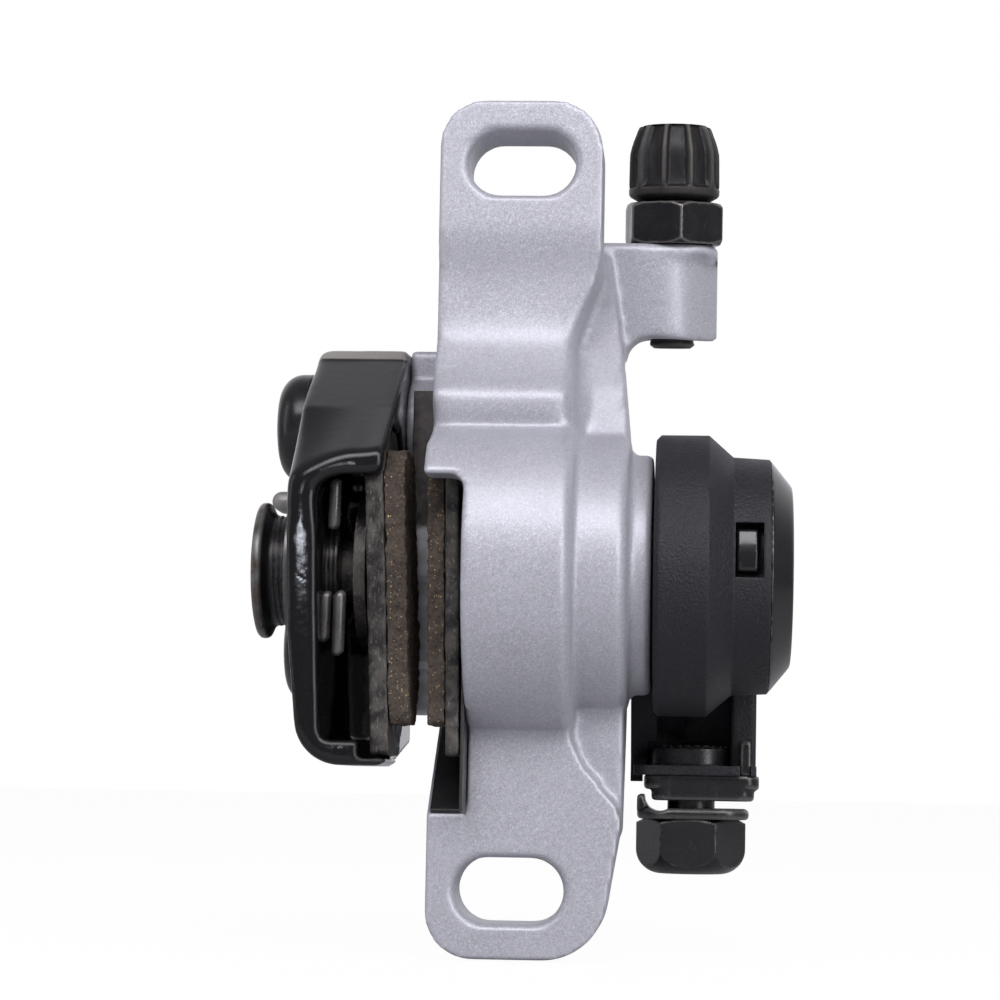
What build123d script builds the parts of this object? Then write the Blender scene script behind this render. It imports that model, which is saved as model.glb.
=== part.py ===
from build123d import *
import math
import os

# Cable-operated disc brake caliper, millimetres
# X runs along the wheel axle towards the cable arm, Y away from the post-mount face, Z up
# The origin lies midway between the two slots, in the plane of the ear faces

# General
overrun = 60.0
running_gap = 0.05
slide_gap = 0.3
edge_break = 0.4
full_turn = 360
quarter_turn = 90
hex_sides = 6
half_share = 0.5

# Actuator axis, parallel to X
axis_y = 5.0
axis_z = -4.75

# Mounting ears
slot_spacing = 74.0
slot_length = 11.0
slot_width = 6.6
slot_x = 0.6
slot_break = 0.5
ear_thickness = 7.4
casting_left_x = -7.8
ear_right_x = 8.85
ear_top_z = 43.5
ear_bottom_z = -43.9
ear_shoulder_z = 27.0
waist_x = 6.3
waist_top_z = 19.5
waist_bottom_z = -22.5
heel_right_x = 11.9
heel_z = -29.2
foot_right_x = 9.5
ear_corner_left = 4.8
ear_corner_right = 5.2
foot_corner = 6.5
waist_bend = 9.0
heel_bend = 3.0

# Front of the casting, seen along X
relief_start_z = 29.3
relief_depth = 1.0
relief_top_z = 25.8
relief_bottom_z = 19.0
hump_height = 2.0
hump_z = 12.4
hump_foot_z = 10.0
relief_bend = 5.0
hump_bend = 1.2

# Back of the casting, seen along X
back_low_z = -29.5
back_step_y = 18.5
back_step_low_z = -24.0
back_y = 24.5
back_bottom_z = -18.5
back_top_z = 20.3
back_step_top_z = 24.5
back_high_z = 29.5
back_bend = 3.0

# Round actuator housing
drum_r = 17.0
drum_right_x = 6.8
shoulder_r = 14.3
shoulder_right_x = 12.2
groove_r = 11.7
neck_left_x = 12.8
neck_r = 12.3
neck_right_x = 14.5
drum_edge = 0.8
neck_edge = 0.4

# Gusset up to the cable stop
gusset_right_x = 11.95
gusset_mid_right_x = 10.9
gusset_mid_right_z = 19.0
gusset_top_right_x = 8.7
gusset_crown_drop = 2.0
gusset_face_y = 0.9
gusset_face_z = 8.8
gusset_mid_y = 3.4
gusset_mid_z = 14.5
gusset_high_y = 8.4
gusset_high_z = 23.5
gusset_top_y = 14.0
gusset_top_z = 29.0
gusset_back_low_y = 20.0
gusset_bend = 6.0

# Web down to the lower ear
web_face_y = 1.5
web_top_z = -15.0
web_foot_y = 2.4
web_foot_z = -31.0
web_back_y = 14.0
web_bend = 2.0

# Cable stop
stop_x = 15.95
stop_y = 21.5
stop_r = 4.9
stop_bottom_z = 22.8
stop_top_z = 33.1
stop_left_x = 5.0
stop_root_bend = 2.4
stop_edge = 0.8
stop_tilt_deg = 8.5
thread_r = 2.5
thread_hole_gap = 0.05

# Pad pocket in the casting
pocket_floor_x = -3.8
pocket_top_z = 3.8
pocket_low_z = -29.4
pocket_back_y = 12.6
pocket_back_low_z = -19.0
pocket_corner = 1.5

# Bridge bosses that meet the bracket
joint_x = -12.2
bolt_y = 18.2
bolt_high_z = 11.85
bolt_low_z = -12.1
bolt_low_sink = 1.3
boss_r = 5.3
bridge_front_y = 14.0
window_low_z = 0.8
window_high_z = 6.6
boss_shelf_y = 16.5

# Bores in the casting
cylinder_end_x = 7.0
neck_bore_r = 6.1
bolt_r = 3.0
bolt_clearance = 0.25
bolt_end_x = -4.6
key_width = 3.2
key_height = 1.3
key_end_x = 3.0

# Bracket on the wheel side
bracket_left_x = -21.9
bracket_front_y = -6.0
bracket_web = 3.05
bracket_low_z = -24.75
lip_thickness = 2.5
lip_right_x = -10.9
lip_back_y = 4.0
lip_corner = 4.6
lip_end_corner = 1.1
lip_tip_corner = 1.6
lip_top_corner = 0.8
block_low_z = 3.95
block_lip_height = 2.3
block_slope_y = 13.0
block_slope_z = 18.9
block_top_z = 19.8
bracket_back_y = 23.5
bracket_base_y = 12.95
bracket_base_low_z = -24.4
bracket_taper_z = 3.0
bracket_taper_x = 1.8
bracket_lean = 0.45
bracket_knee_z = -11.5
bracket_knee_bend = 8.0
bracket_back_foot_z = -21.5
block_edge = 1.2
bracket_edge = 0.5
screw_boss_r = 8.6
screw_boss_x = -18.0
tip_notch_z = -24.0
bracket_back_low_y = 6.0

# Brake pads
pad_front_y = -4.5
pad_back_y = 11.5
lining_back_y = 6.2
lining_crown_y = 4.6
lining_low_z = -20.7
lining_top_z = 7.2
lining_front_top_z = 4.4
lining_top_y = -0.4
lining_low_y = 1.5
lining_back_low_z = -15.4
lining_back_top_z = 4.4
plate_low_z = -23.7
plate_top_z = 10.0
plate_top_y = 3.4
plate_back_top_y = 8.5
plate_back_top_z = 6.4
plate_low_y = 4.4
plate_back_low_z = -17.9
pad_corner = 0.8
fixed_pad_tilt_deg = 2.4
moving_pad_tilt_deg = 1.2
adjuster_out_travel = 0.8
adjuster_in_travel = 0.4
fixed_plate_left_x = -13.85
fixed_plate_right_x = -11.95
fixed_lining_right_x = -9.8
moving_lining_left_x = -7.75
moving_lining_right_x = -6.0
moving_plate_right_x = -4.6
tab_back_y = 17.2
tab_low_z = 1.5
tab_high_z = 5.5
pad_hole_gap = 0.18

# Pad retaining pin
pin_y = 14.6
pin_z = 3.5
pin_r = 1.05
pin_bend_x = -25.55
pin_right_x = 1.6
pin_hook_length = 2.6
pin_hole_gap = 0.06

# Pad spring
spring_y = 12.05
spring_thickness = 0.5
spring_left_x = -11.6
spring_right_x = -7.9
spring_rail = 1.0
spring_panel_low_z = 7.4
spring_panel_top_z = 16.0
spring_bar_high_z = -1.5
spring_bar_low_z = -4.5
spring_foot_high_z = -13.6
spring_foot_low_z = -15.0
spring_corner = 0.4

# Pocket liner
liner_thickness = 0.3
liner_gap = 0.1

# Fixed pad adjuster
knob_left_x = -25.95
knob_right_x = -24.75
knob_r = 7.0
knob_neck_x = -23.95
screw_r = 5.75
screw_end_x = -17.2
knob_socket_flats = 4.6
knob_socket_depth = 3.5
press_plate_r = 7.6
press_thickness = 2.0
press_hub_r = 3.2

# Detent plate behind the adjuster
detent_thickness = 0.5
detent_r = 8.2
detent_tab_width = 3.0
detent_tab_length = 10.2
detent_gap = 0.15

# Bracket bolts and washers
head_r = 5.9
head_height = 3.4
head_rim = 0.9
head_socket_flats = 4.6
head_socket_depth = 1.8
washer_r = 5.5
washer_thickness = 1.0

# Ball ramp
ball_r = 1.75
ball_count = 3
ball_circle_r = 7.9
ramp_rim = 2.7
ramp_clearance = 0.5
piston_clearance = 0.06
thrust_clearance = 0.9
ball_x = 1.25
disc_gap = 0.5
ramp_disc_r = ball_circle_r + ramp_rim
cylinder_r = ramp_disc_r + ramp_clearance
disc_r = cylinder_r - piston_clearance
ramp_back_x = 5.2
track_gap = 0.16
arm_travel_deg = 35.0
piston_travel = 1.2
cage_thickness = 0.3
cage_wall = 2.5
cage_inner_r = ball_circle_r - cage_wall
cage_rim = 2.0
cage_outer_r = ball_circle_r + cage_rim
piston_shoulder = 2.64
piston_nose_r = disc_r - piston_shoulder
piston_nose_length = 2.2
piston_recess_r = 4.6
piston_recess_depth = 3.6

# Shaft, bearing and seal
shaft_r = 5.0
shaft_flange_r = 6.0
shaft_hex_size = 8.0
shaft_left_x = 1.9
shaft_journal_x = 5.25
shaft_square = 7.2
shaft_square_x = 15.5
shaft_end_x = 20.9
shaft_thread_r = 2.5
shaft_thread_depth = 9.0
bushing_r = 6.08
thrust_r = cylinder_r - thrust_clearance
seal_r = 7.6
seal_thickness = 0.75

# Arm hub
hub_left_x = 14.75
hub_r = 14.4
hub_shoulder_x = 20.1
barrel_left_x = 22.6
barrel_right_x = 26.3
barrel_right_r = 12.0
barrel_draft = 0.2
barrel_wall = 1.4
hub_edge = 0.5
hub_wall_left_x = 18.7
hub_wall_right_x = 21.1
spring_room_r = 11.9
hub_boss_r = 6.9
hub_window_left_x = 22.75
hub_window_right_x = 25.55
hub_window_low_z = -5.8
hub_window_high_z = -0.3

# Arm quadrant and clamp tail
sector_left_x = 12.3
sector_wall_x = 15.0
sector_right_x = 17.9
sector_r = 21.0
sector_inner_r = 12.7
sector_start_deg = -62.0
sector_back_start_deg = -52.0
sector_end_deg = 22.0
cable_r = 0.8
channel_depth = 0.35
track_x = stop_x
track_groove_r = 1.1
tail_y = 14.5
tail_half_width = 6.0
tail_top_z = -14.0
strap_left_x = 22.75
strap_right_x = 25.45
strap_half_width = 3.4
strap_barrel_z = -13.0
shelf_left_x = 12.7
shelf_right_x = 25.5
shelf_top_z = -24.1
shelf_thickness = 1.0
clamp_x = 18.75
clamp_r = 2.5
sector_foot_y = 15.0
sector_foot_z = -25.8
tail_wall_thickness = 1.6

# Cable clamp stack
clamp_nut_r = 4.4
clamp_nut_top_z = -22.0
clamp_nut_teeth = 24
tooth_depth = 0.35
platform_thickness = 1.5
platform_left_x = 13.8
platform_right_x = 25.8
platform_half_width = 5.2
platform_corner = 1.6
platform_fold_left_x = 14.6
platform_fold_right_x = 25.3
platform_fold_thickness = 1.15
platform_tab_left_x = 23.8
platform_tab_right_x = 24.85
platform_tab_front_y = 9.75
platform_tab_back_y = 10.8
platform_tab_top_z = -21.4
lower_left_x = 13.1
lower_right_x = 24.8
lower_top_z = -28.55
lower_bottom_z = -29.7
lower_half_width = 5.4
lower_lip_thickness = 1.2
lower_lip_top_z = -27.1
lower_lip_half_width = 3.8
hex_flats = 10.0
hex_height = 5.7
hex_chamfer = 0.8
hex_dome_height = 2.6
hex_dome_inset = 2.3
clamp_turn_deg = -3.1

# Arm bolt, washer and cap
arm_bolt_head_r = 4.25
arm_bolt_head_height = 2.6
arm_bolt_socket_flats = 4.0
arm_bolt_socket_depth = 1.6
arm_bolt_length = 8.0
arm_washer_r = 6.2
arm_washer_thickness = 0.9
cap_right_x = 28.6
cap_bevel_x = 28.3
cap_bevel = 2.45
cap_sleeve_gap = 0.1
cap_sleeve_wall = 1.5
cap_tab_rise = 0.9
cap_sleeve_x = 22.5
cap_thickness = 1.4
cap_tab_left_x = 22.85
cap_tab_right_x = 25.0
cap_tab_low_z = -5.25
cap_tab_high_z = -0.85

# Arm return spring
coil_wire_r = 0.75
coil_r = 9.4
coil_left_x = 15.75
coil_pitch = 1.7
coil_turns = 1.25

# Jam nut and barrel adjuster
jam_height = 4.5
jam_turn_deg = -21.3
jam_chamfer = 0.6
barrel_low_z = 37.8
barrel_top_z = 46.05
barrel_top_r = 3.85
barrel_wide_r = 4.95
barrel_wide_low_z = 38.5
barrel_wide_high_z = 43.0
barrel_foot_r = 3.95
barrel_chamfer = 0.5
flute_count = 10
flute_r = 1.0
flute_depth = 0.4
flute_foot_z = 39.9
flute_turn_deg = 9.8
barrel_tip_z = 21.8
barrel_tip_chamfer = 0.45
housing_r = 2.55
housing_depth = 6.5
cable_bore_r = 1.1


def side_form(points, radii, x_from, x_to):
    """Closed outline given as (Y, Z), drawn out along X."""
    outline = FilletPolyline(*points, radius=radii, close=True)
    plane = Plane(origin=(x_from, 0, 0), x_dir=(0, 1, 0), z_dir=(1, 0, 0))
    return extrude(plane * make_face(outline), x_to - x_from, dir=(1, 0, 0))


def front_form(points, radii, y_from, y_to):
    """Closed outline given as (X, Z), drawn out along Y."""
    outline = FilletPolyline(*points, radius=radii, close=True)
    plane = Plane(origin=(0, y_from, 0), x_dir=(1, 0, 0), z_dir=(0, -1, 0))
    return extrude(plane * make_face(outline), y_to - y_from, dir=(0, 1, 0))


def top_form(points, radii, z_from, z_to):
    """Closed outline given as (X, Y), drawn out along Z."""
    outline = FilletPolyline(*points, radius=radii, close=True)
    plane = Plane(origin=(0, 0, z_from), x_dir=(1, 0, 0), z_dir=(0, 0, 1))
    return extrude(plane * make_face(outline), z_to - z_from, dir=(0, 0, 1))


def block(x_from, x_to, y_from, y_to, z_from, z_to):
    """Plain block between two corners."""
    corner = Pos(x_from, y_from, z_from)
    size = (x_to - x_from, y_to - y_from, z_to - z_from)
    return corner * Box(*size, align=(Align.MIN, Align.MIN, Align.MIN))


def rod_x(radius, x_from, x_to, y=axis_y, z=axis_z):
    """Cylinder along X, on the actuator axis unless told otherwise."""
    plane = Plane(origin=(x_from, y, z), x_dir=(0, 1, 0), z_dir=(1, 0, 0))
    return extrude(plane * Circle(radius), x_to - x_from, dir=(1, 0, 0))


def rod_y(radius, y_from, y_to, x, z):
    """Cylinder along Y."""
    plane = Plane(origin=(x, y_from, z), x_dir=(1, 0, 0), z_dir=(0, 1, 0))
    return extrude(plane * Circle(radius), y_to - y_from, dir=(0, 1, 0))


def rod_z(radius, z_from, z_to, x, y):
    """Cylinder along Z."""
    plane = Plane(origin=(x, y, z_from), x_dir=(1, 0, 0), z_dir=(0, 0, 1))
    return extrude(plane * Circle(radius), z_to - z_from, dir=(0, 0, 1))


def turned_x(points):
    """Closed outline of (X, radius) points turned about the actuator axis."""
    plane = Plane(origin=(0, axis_y, axis_z), x_dir=(1, 0, 0), z_dir=(0, 0, 1))
    outline = Polyline(*points, close=True)
    axis = Axis((0, axis_y, axis_z), (1, 0, 0))
    return revolve(plane * make_face(outline), axis)


def turned_z(points, x, y):
    """Closed outline of (radius, Z) points turned about an upright axis."""
    plane = Plane(origin=(x, y, 0), x_dir=(1, 0, 0), z_dir=(0, -1, 0))
    outline = Polyline(*points, close=True)
    axis = Axis((x, y, 0), (0, 0, 1))
    return revolve(plane * make_face(outline), axis)


def hexagon_z(flats, z_from, z_to, x, y, turn_deg):
    """Upright hexagonal bar."""
    plane = Plane(origin=(x, y, z_from), x_dir=(1, 0, 0), z_dir=(0, 0, 1))
    shape = Rot(0, 0, turn_deg) * RegularPolygon(flats * half_share, hex_sides, major_radius=False)
    return extrude(plane * shape, z_to - z_from, dir=(0, 0, 1))


def hexagon_x(flats, x_from, x_to, y=axis_y, z=axis_z):
    """Hexagonal bar along X."""
    plane = Plane(origin=(x_from, y, z), x_dir=(0, 1, 0), z_dir=(1, 0, 0))
    shape = RegularPolygon(flats * half_share, hex_sides, major_radius=False)
    return extrude(plane * shape, x_to - x_from, dir=(1, 0, 0))


def corner_radius(flats):
    """Distance from a hexagon's middle to its corners."""
    return flats * half_share / math.cos(math.radians(full_turn / hex_sides * half_share))


def tilted(shape):
    """Leans a piece of the cable stop to the front, about the top of its lug."""
    return shape.rotate(Axis((stop_x, stop_y, stop_top_z), (1, 0, 0)), stop_tilt_deg)


# Casting

def casting_plate():
    """Ears, relief and back, as one side outline cut to the front outline."""
    side = [
        (0, ear_top_z),
        (0, relief_start_z),
        (relief_depth, relief_top_z),
        (relief_depth, relief_bottom_z),
        (-hump_height, hump_z),
        (0, hump_foot_z),
        (0, ear_bottom_z),
        (ear_thickness, ear_bottom_z),
        (ear_thickness, back_low_z),
        (back_step_y, back_step_low_z),
        (back_y, back_bottom_z),
        (back_y, back_top_z),
        (back_step_y, back_step_top_z),
        (ear_thickness, back_high_z),
        (ear_thickness, ear_top_z),
    ]
    bends = [
        0,
        relief_bend,
        relief_bend,
        relief_bend,
        hump_bend,
        0,
        0,
        0,
        back_bend,
        back_bend,
        back_bend,
        back_bend,
        back_bend,
        back_bend,
        0,
    ]
    front = [
        (casting_left_x, ear_top_z),
        (ear_right_x, ear_top_z),
        (ear_right_x, ear_shoulder_z),
        (waist_x, waist_top_z),
        (waist_x, waist_bottom_z),
        (heel_right_x, heel_z),
        (foot_right_x, ear_bottom_z),
        (casting_left_x, ear_bottom_z),
    ]
    corners = [
        ear_corner_left,
        ear_corner_right,
        waist_bend,
        waist_bend,
        waist_bend,
        heel_bend,
        foot_corner,
        ear_corner_left,
    ]
    across = side_form(side, bends, casting_left_x, shoulder_right_x)
    along = front_form(front, corners, -overrun, overrun)
    return across & along


def casting_drum():
    """Round housing on the actuator axis, with shoulder, groove and neck."""
    drum = [
        (casting_left_x, 0),
        (casting_left_x, drum_r),
        (drum_right_x - drum_edge, drum_r),
        (drum_right_x, drum_r - drum_edge),
        (drum_right_x, shoulder_r),
        (shoulder_right_x - drum_edge, shoulder_r),
        (shoulder_right_x, shoulder_r - drum_edge),
        (shoulder_right_x, groove_r),
        (neck_left_x, groove_r),
        (neck_left_x, neck_r),
        (neck_right_x - neck_edge, neck_r),
        (neck_right_x, neck_r - neck_edge),
        (neck_right_x, 0),
    ]
    return turned_x(drum)


def casting_gusset():
    """Sloping wall from the housing up to the cable stop."""
    side = [
        (gusset_face_y, gusset_face_z),
        (gusset_mid_y, gusset_mid_z),
        (gusset_high_y, gusset_high_z),
        (gusset_top_y, gusset_top_z),
        (stop_y - stop_r, stop_top_z - gusset_crown_drop),
        (stop_y + stop_r, stop_top_z - gusset_crown_drop),
        (stop_y + stop_r, stop_bottom_z),
        (back_step_y, gusset_face_z),
        (gusset_back_low_y, axis_z),
        (axis_y, axis_z),
    ]
    bends = [0, gusset_bend, gusset_bend, gusset_bend, stop_edge, stop_edge, stop_edge, gusset_bend, 0, 0]
    wall = side_form(side, bends, drum_right_x - drum_edge, gusset_right_x)
    trim = [
        (0, stop_top_z),
        (gusset_top_right_x, stop_top_z),
        (gusset_mid_right_x, gusset_mid_right_z),
        (gusset_right_x, gusset_face_z),
        (gusset_right_x, axis_z),
        (0, axis_z),
    ]
    return wall & front_form(trim, [0, 0, gusset_bend, gusset_bend, 0, 0], -overrun, overrun)


def casting_web():
    """Wall from the housing down to the lower ear."""
    side = [
        (web_face_y, web_top_z),
        (web_face_y, waist_bottom_z),
        (web_foot_y, web_foot_z),
        (ear_thickness, web_foot_z),
        (web_back_y, waist_bottom_z),
        (back_step_y, web_top_z),
    ]
    return side_form(side, [0, web_bend, 0, 0, web_bend, 0], casting_left_x, shoulder_right_x - edge_break)


def casting_stop():
    """Lug that holds the barrel adjuster."""
    lug = rod_z(stop_r, stop_bottom_z, stop_top_z, stop_x, stop_y)
    arm = block(stop_left_x, stop_x, stop_y - stop_r, stop_y + stop_r, stop_bottom_z, stop_top_z)
    root_x = gusset_mid_right_x
    root = [
        (root_x - stop_root_bend, stop_bottom_z - stop_root_bend),
        (root_x, stop_bottom_z - stop_root_bend),
        (root_x + stop_root_bend, stop_bottom_z),
        (root_x, stop_bottom_z + stop_root_bend),
        (root_x - stop_root_bend, stop_bottom_z + stop_root_bend),
    ]
    fill = front_form(root, 0, stop_y - stop_r, stop_y + stop_r)
    fill -= rod_y(
        stop_root_bend,
        stop_y - overrun,
        stop_y + overrun,
        root_x + stop_root_bend,
        stop_bottom_z - stop_root_bend,
    )
    lug = lug + arm
    lug = fillet(lug.edges().group_by(Axis.Z)[-1], stop_edge)
    lug = fillet(lug.edges().group_by(Axis.Z)[0], edge_break)
    return tilted(lug + fill)


def casting_bridge():
    """Bosses beyond the rotor edge, which the bracket is bolted to."""
    body = Part()
    for z in (bolt_high_z, bolt_low_z):
        body += rod_x(boss_r, joint_x, casting_left_x + boss_r, bolt_y, z)
    body += block(
        joint_x,
        casting_left_x + boss_r,
        bridge_front_y,
        bolt_y + boss_r,
        bolt_low_z,
        window_low_z,
    )
    body += block(
        joint_x,
        casting_left_x + boss_r,
        boss_shelf_y,
        bolt_y + boss_r,
        bolt_high_z,
        back_top_z,
    )
    body += block(
        joint_x,
        casting_left_x + boss_r,
        boss_shelf_y,
        bolt_y + boss_r,
        window_high_z,
        bolt_high_z,
    )
    return body


def ear_slots():
    """The two mounting slots, with broken edges on both faces."""
    cuts = Part()
    for sign in (1, -1):
        z = sign * slot_spacing * half_share
        plane = Plane(origin=(slot_x, -overrun, z), x_dir=(1, 0, 0), z_dir=(0, 1, 0))
        slot = SlotOverall(slot_length, slot_width)
        cuts += extrude(plane * slot, overrun + overrun, dir=(0, 1, 0))
        for y, out in ((0, -1), (ear_thickness, 1)):
            mouth = Plane(origin=(slot_x, y, z), x_dir=(1, 0, 0), z_dir=(0, out, 0))
            wide = SlotOverall(slot_length + slot_break + slot_break, slot_width + slot_break + slot_break)
            inner = Plane(origin=(slot_x, y - out * slot_break, z), x_dir=(1, 0, 0), z_dir=(0, out, 0))
            cuts += loft([inner * SlotOverall(slot_length, slot_width), mouth * wide])
    return cuts


def pad_pocket():
    """Room for the moving pad, open to the front and towards the rotor."""
    notch = [
        (-overrun, pocket_top_z),
        (pocket_back_y, pocket_top_z),
        (pocket_back_y, pocket_back_low_z),
        (0, pocket_low_z),
        (-overrun, pocket_low_z),
    ]
    room = side_form(notch, 0, -overrun, pocket_floor_x)
    upper = side_form(pad_plate_outline(slide_gap), pad_corner, -overrun, pocket_floor_x)
    window = block(
        joint_x - overrun,
        pocket_floor_x,
        axis_y,
        overrun,
        window_low_z,
        window_high_z,
    )
    corner = [
        (pocket_floor_x - pocket_corner, pocket_top_z - pocket_corner),
        (pocket_floor_x + pocket_corner, pocket_top_z - pocket_corner),
        (pocket_floor_x + pocket_corner, pocket_top_z + pocket_corner),
        (pocket_floor_x - pocket_corner, pocket_top_z + pocket_corner),
    ]
    keep = front_form(corner, 0, -drum_r, gusset_face_y)
    keep -= rod_y(
        pocket_corner,
        -overrun,
        overrun,
        pocket_floor_x - pocket_corner,
        pocket_top_z - pocket_corner,
    )
    return room - keep + upper + window


def caliper_body():
    """The cast housing."""
    body = casting_plate() + casting_drum() + casting_web() + casting_gusset()
    body += casting_stop() + casting_bridge()
    body -= pad_pocket()
    body -= rod_x(cylinder_r, pocket_floor_x - overrun, cylinder_end_x) - block(
        -overrun, casting_left_x, -overrun, overrun, -overrun, overrun
    )
    body -= rod_x(neck_bore_r, 0, overrun)
    key_y = axis_y + cylinder_r
    body -= block(
        pocket_floor_x - overrun,
        key_end_x,
        axis_y,
        key_y + key_height,
        axis_z - key_width * half_share - running_gap,
        axis_z + key_width * half_share + running_gap,
    ) & rod_x(cylinder_r + key_height, casting_left_x, key_end_x)
    for z, sink in bolt_places():
        body -= rod_x(bolt_r, joint_x - overrun, bolt_end_x + sink, bolt_y, z)
    body -= rod_x(pin_r + pin_hole_gap, joint_x - overrun, pin_right_x, pin_y, pin_z)
    bore = rod_z(thread_r + thread_hole_gap, stop_bottom_z - stop_r, stop_top_z + stop_r, stop_x, stop_y)
    body -= tilted(bore)
    body -= ear_slots()
    return body


# Pads

def pad_plate_outline(grow=0):
    """Backing plate as (Y, Z) points, grown outwards by a clearance."""
    return [
        (pad_front_y - grow, lining_front_top_z + grow),
        (pad_front_y - grow, plate_low_z - grow),
        (plate_low_y + grow, plate_low_z - grow),
        (pad_back_y + grow, plate_back_low_z - grow),
        (pad_back_y + grow, plate_back_top_z + grow),
        (plate_back_top_y + grow, plate_top_z + grow),
        (plate_top_y - grow, plate_top_z + grow),
    ]


def pad_plate(x_from, x_to, seam_x, tilt_deg):
    """Steel backing plate with its hanging tab."""
    plate = side_form(pad_plate_outline(), pad_corner, x_from, x_to)
    tab = [
        (plate_back_top_y, tab_low_z),
        (tab_back_y, tab_low_z),
        (tab_back_y, tab_high_z),
        (plate_back_top_y, tab_high_z),
    ]
    plate += side_form(tab, [0, pad_corner, pad_corner, 0], x_from, x_to)
    plate = leaning(plate, seam_x, tilt_deg)
    return plate - rod_x(pin_r + pad_hole_gap, x_from - pin_r, x_to + pin_r, pin_y, pin_z)


def pad_lining(x_from, x_to, seam_x, tilt_deg):
    """Friction block."""
    outline = [
        (pad_front_y, lining_front_top_z),
        (pad_front_y, lining_low_z),
        (lining_low_y, lining_low_z),
        (lining_back_y, lining_back_low_z),
        (lining_back_y, lining_back_top_z),
        (lining_crown_y, lining_top_z),
        (lining_top_y, lining_top_z),
    ]
    return leaning(side_form(outline, pad_corner, x_from, x_to), seam_x, tilt_deg)


def leaning(shape, seam_x, tilt_deg):
    """Tips a pad in its pocket, as it hangs with no rotor between the pads."""
    return shape.rotate(Axis((seam_x, 0, axis_z), (0, 1, 0)), -tilt_deg)


def tilt_room(radius, tilt_deg):
    """How far a tipped plate stands off a round face."""
    return radius * math.tan(math.radians(tilt_deg))


def pad_retainer():
    """Pin through both pad tabs, with its outer end bent over."""
    pin = rod_x(pin_r, pin_bend_x, pin_right_x, pin_y, pin_z)
    pin += Pos(pin_bend_x, pin_y, pin_z) * Sphere(pin_r)
    hook = rod_y(pin_r, pin_y, pin_y + pin_hook_length, pin_bend_x, pin_z)
    pin += hook + Pos(pin_bend_x, pin_y + pin_hook_length, pin_z) * Sphere(pin_r)
    return pin


def pad_spring():
    """Leaf frame behind the pads, hooked into the bridge window."""
    y_far = spring_y + spring_thickness
    leaf = block(spring_left_x, spring_right_x, spring_y, y_far, spring_foot_low_z, spring_panel_top_z)
    inner_left = spring_left_x + spring_rail
    inner_right = spring_right_x - spring_rail
    openings = (
        (spring_foot_high_z, spring_bar_low_z),
        (spring_bar_high_z, spring_panel_low_z),
    )
    for z_from, z_to in openings:
        leaf -= block(inner_left, inner_right, axis_y, overrun, z_from, z_to)
    corners = leaf.edges().filter_by(Axis.Y)
    leaf = fillet(corners, spring_corner)
    return leaf


# Bracket

def bracket_profile():
    """C outline of the bracket as (X, Z) points."""
    inner_x = bracket_left_x + bracket_web
    return [
        (bracket_left_x, block_top_z),
        (bracket_left_x, bracket_taper_z),
        (bracket_left_x + bracket_lean, bracket_knee_z),
        (bracket_left_x + bracket_taper_x, bracket_low_z),
        (lip_right_x, bracket_low_z),
        (lip_right_x, bracket_low_z + lip_thickness),
        (inner_x + bracket_lean + bracket_lean, bracket_low_z + lip_thickness),
        (inner_x + bracket_lean, bracket_knee_z),
        (inner_x, block_low_z),
        (joint_x, block_low_z),
        (joint_x, block_top_z),
    ]


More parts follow.
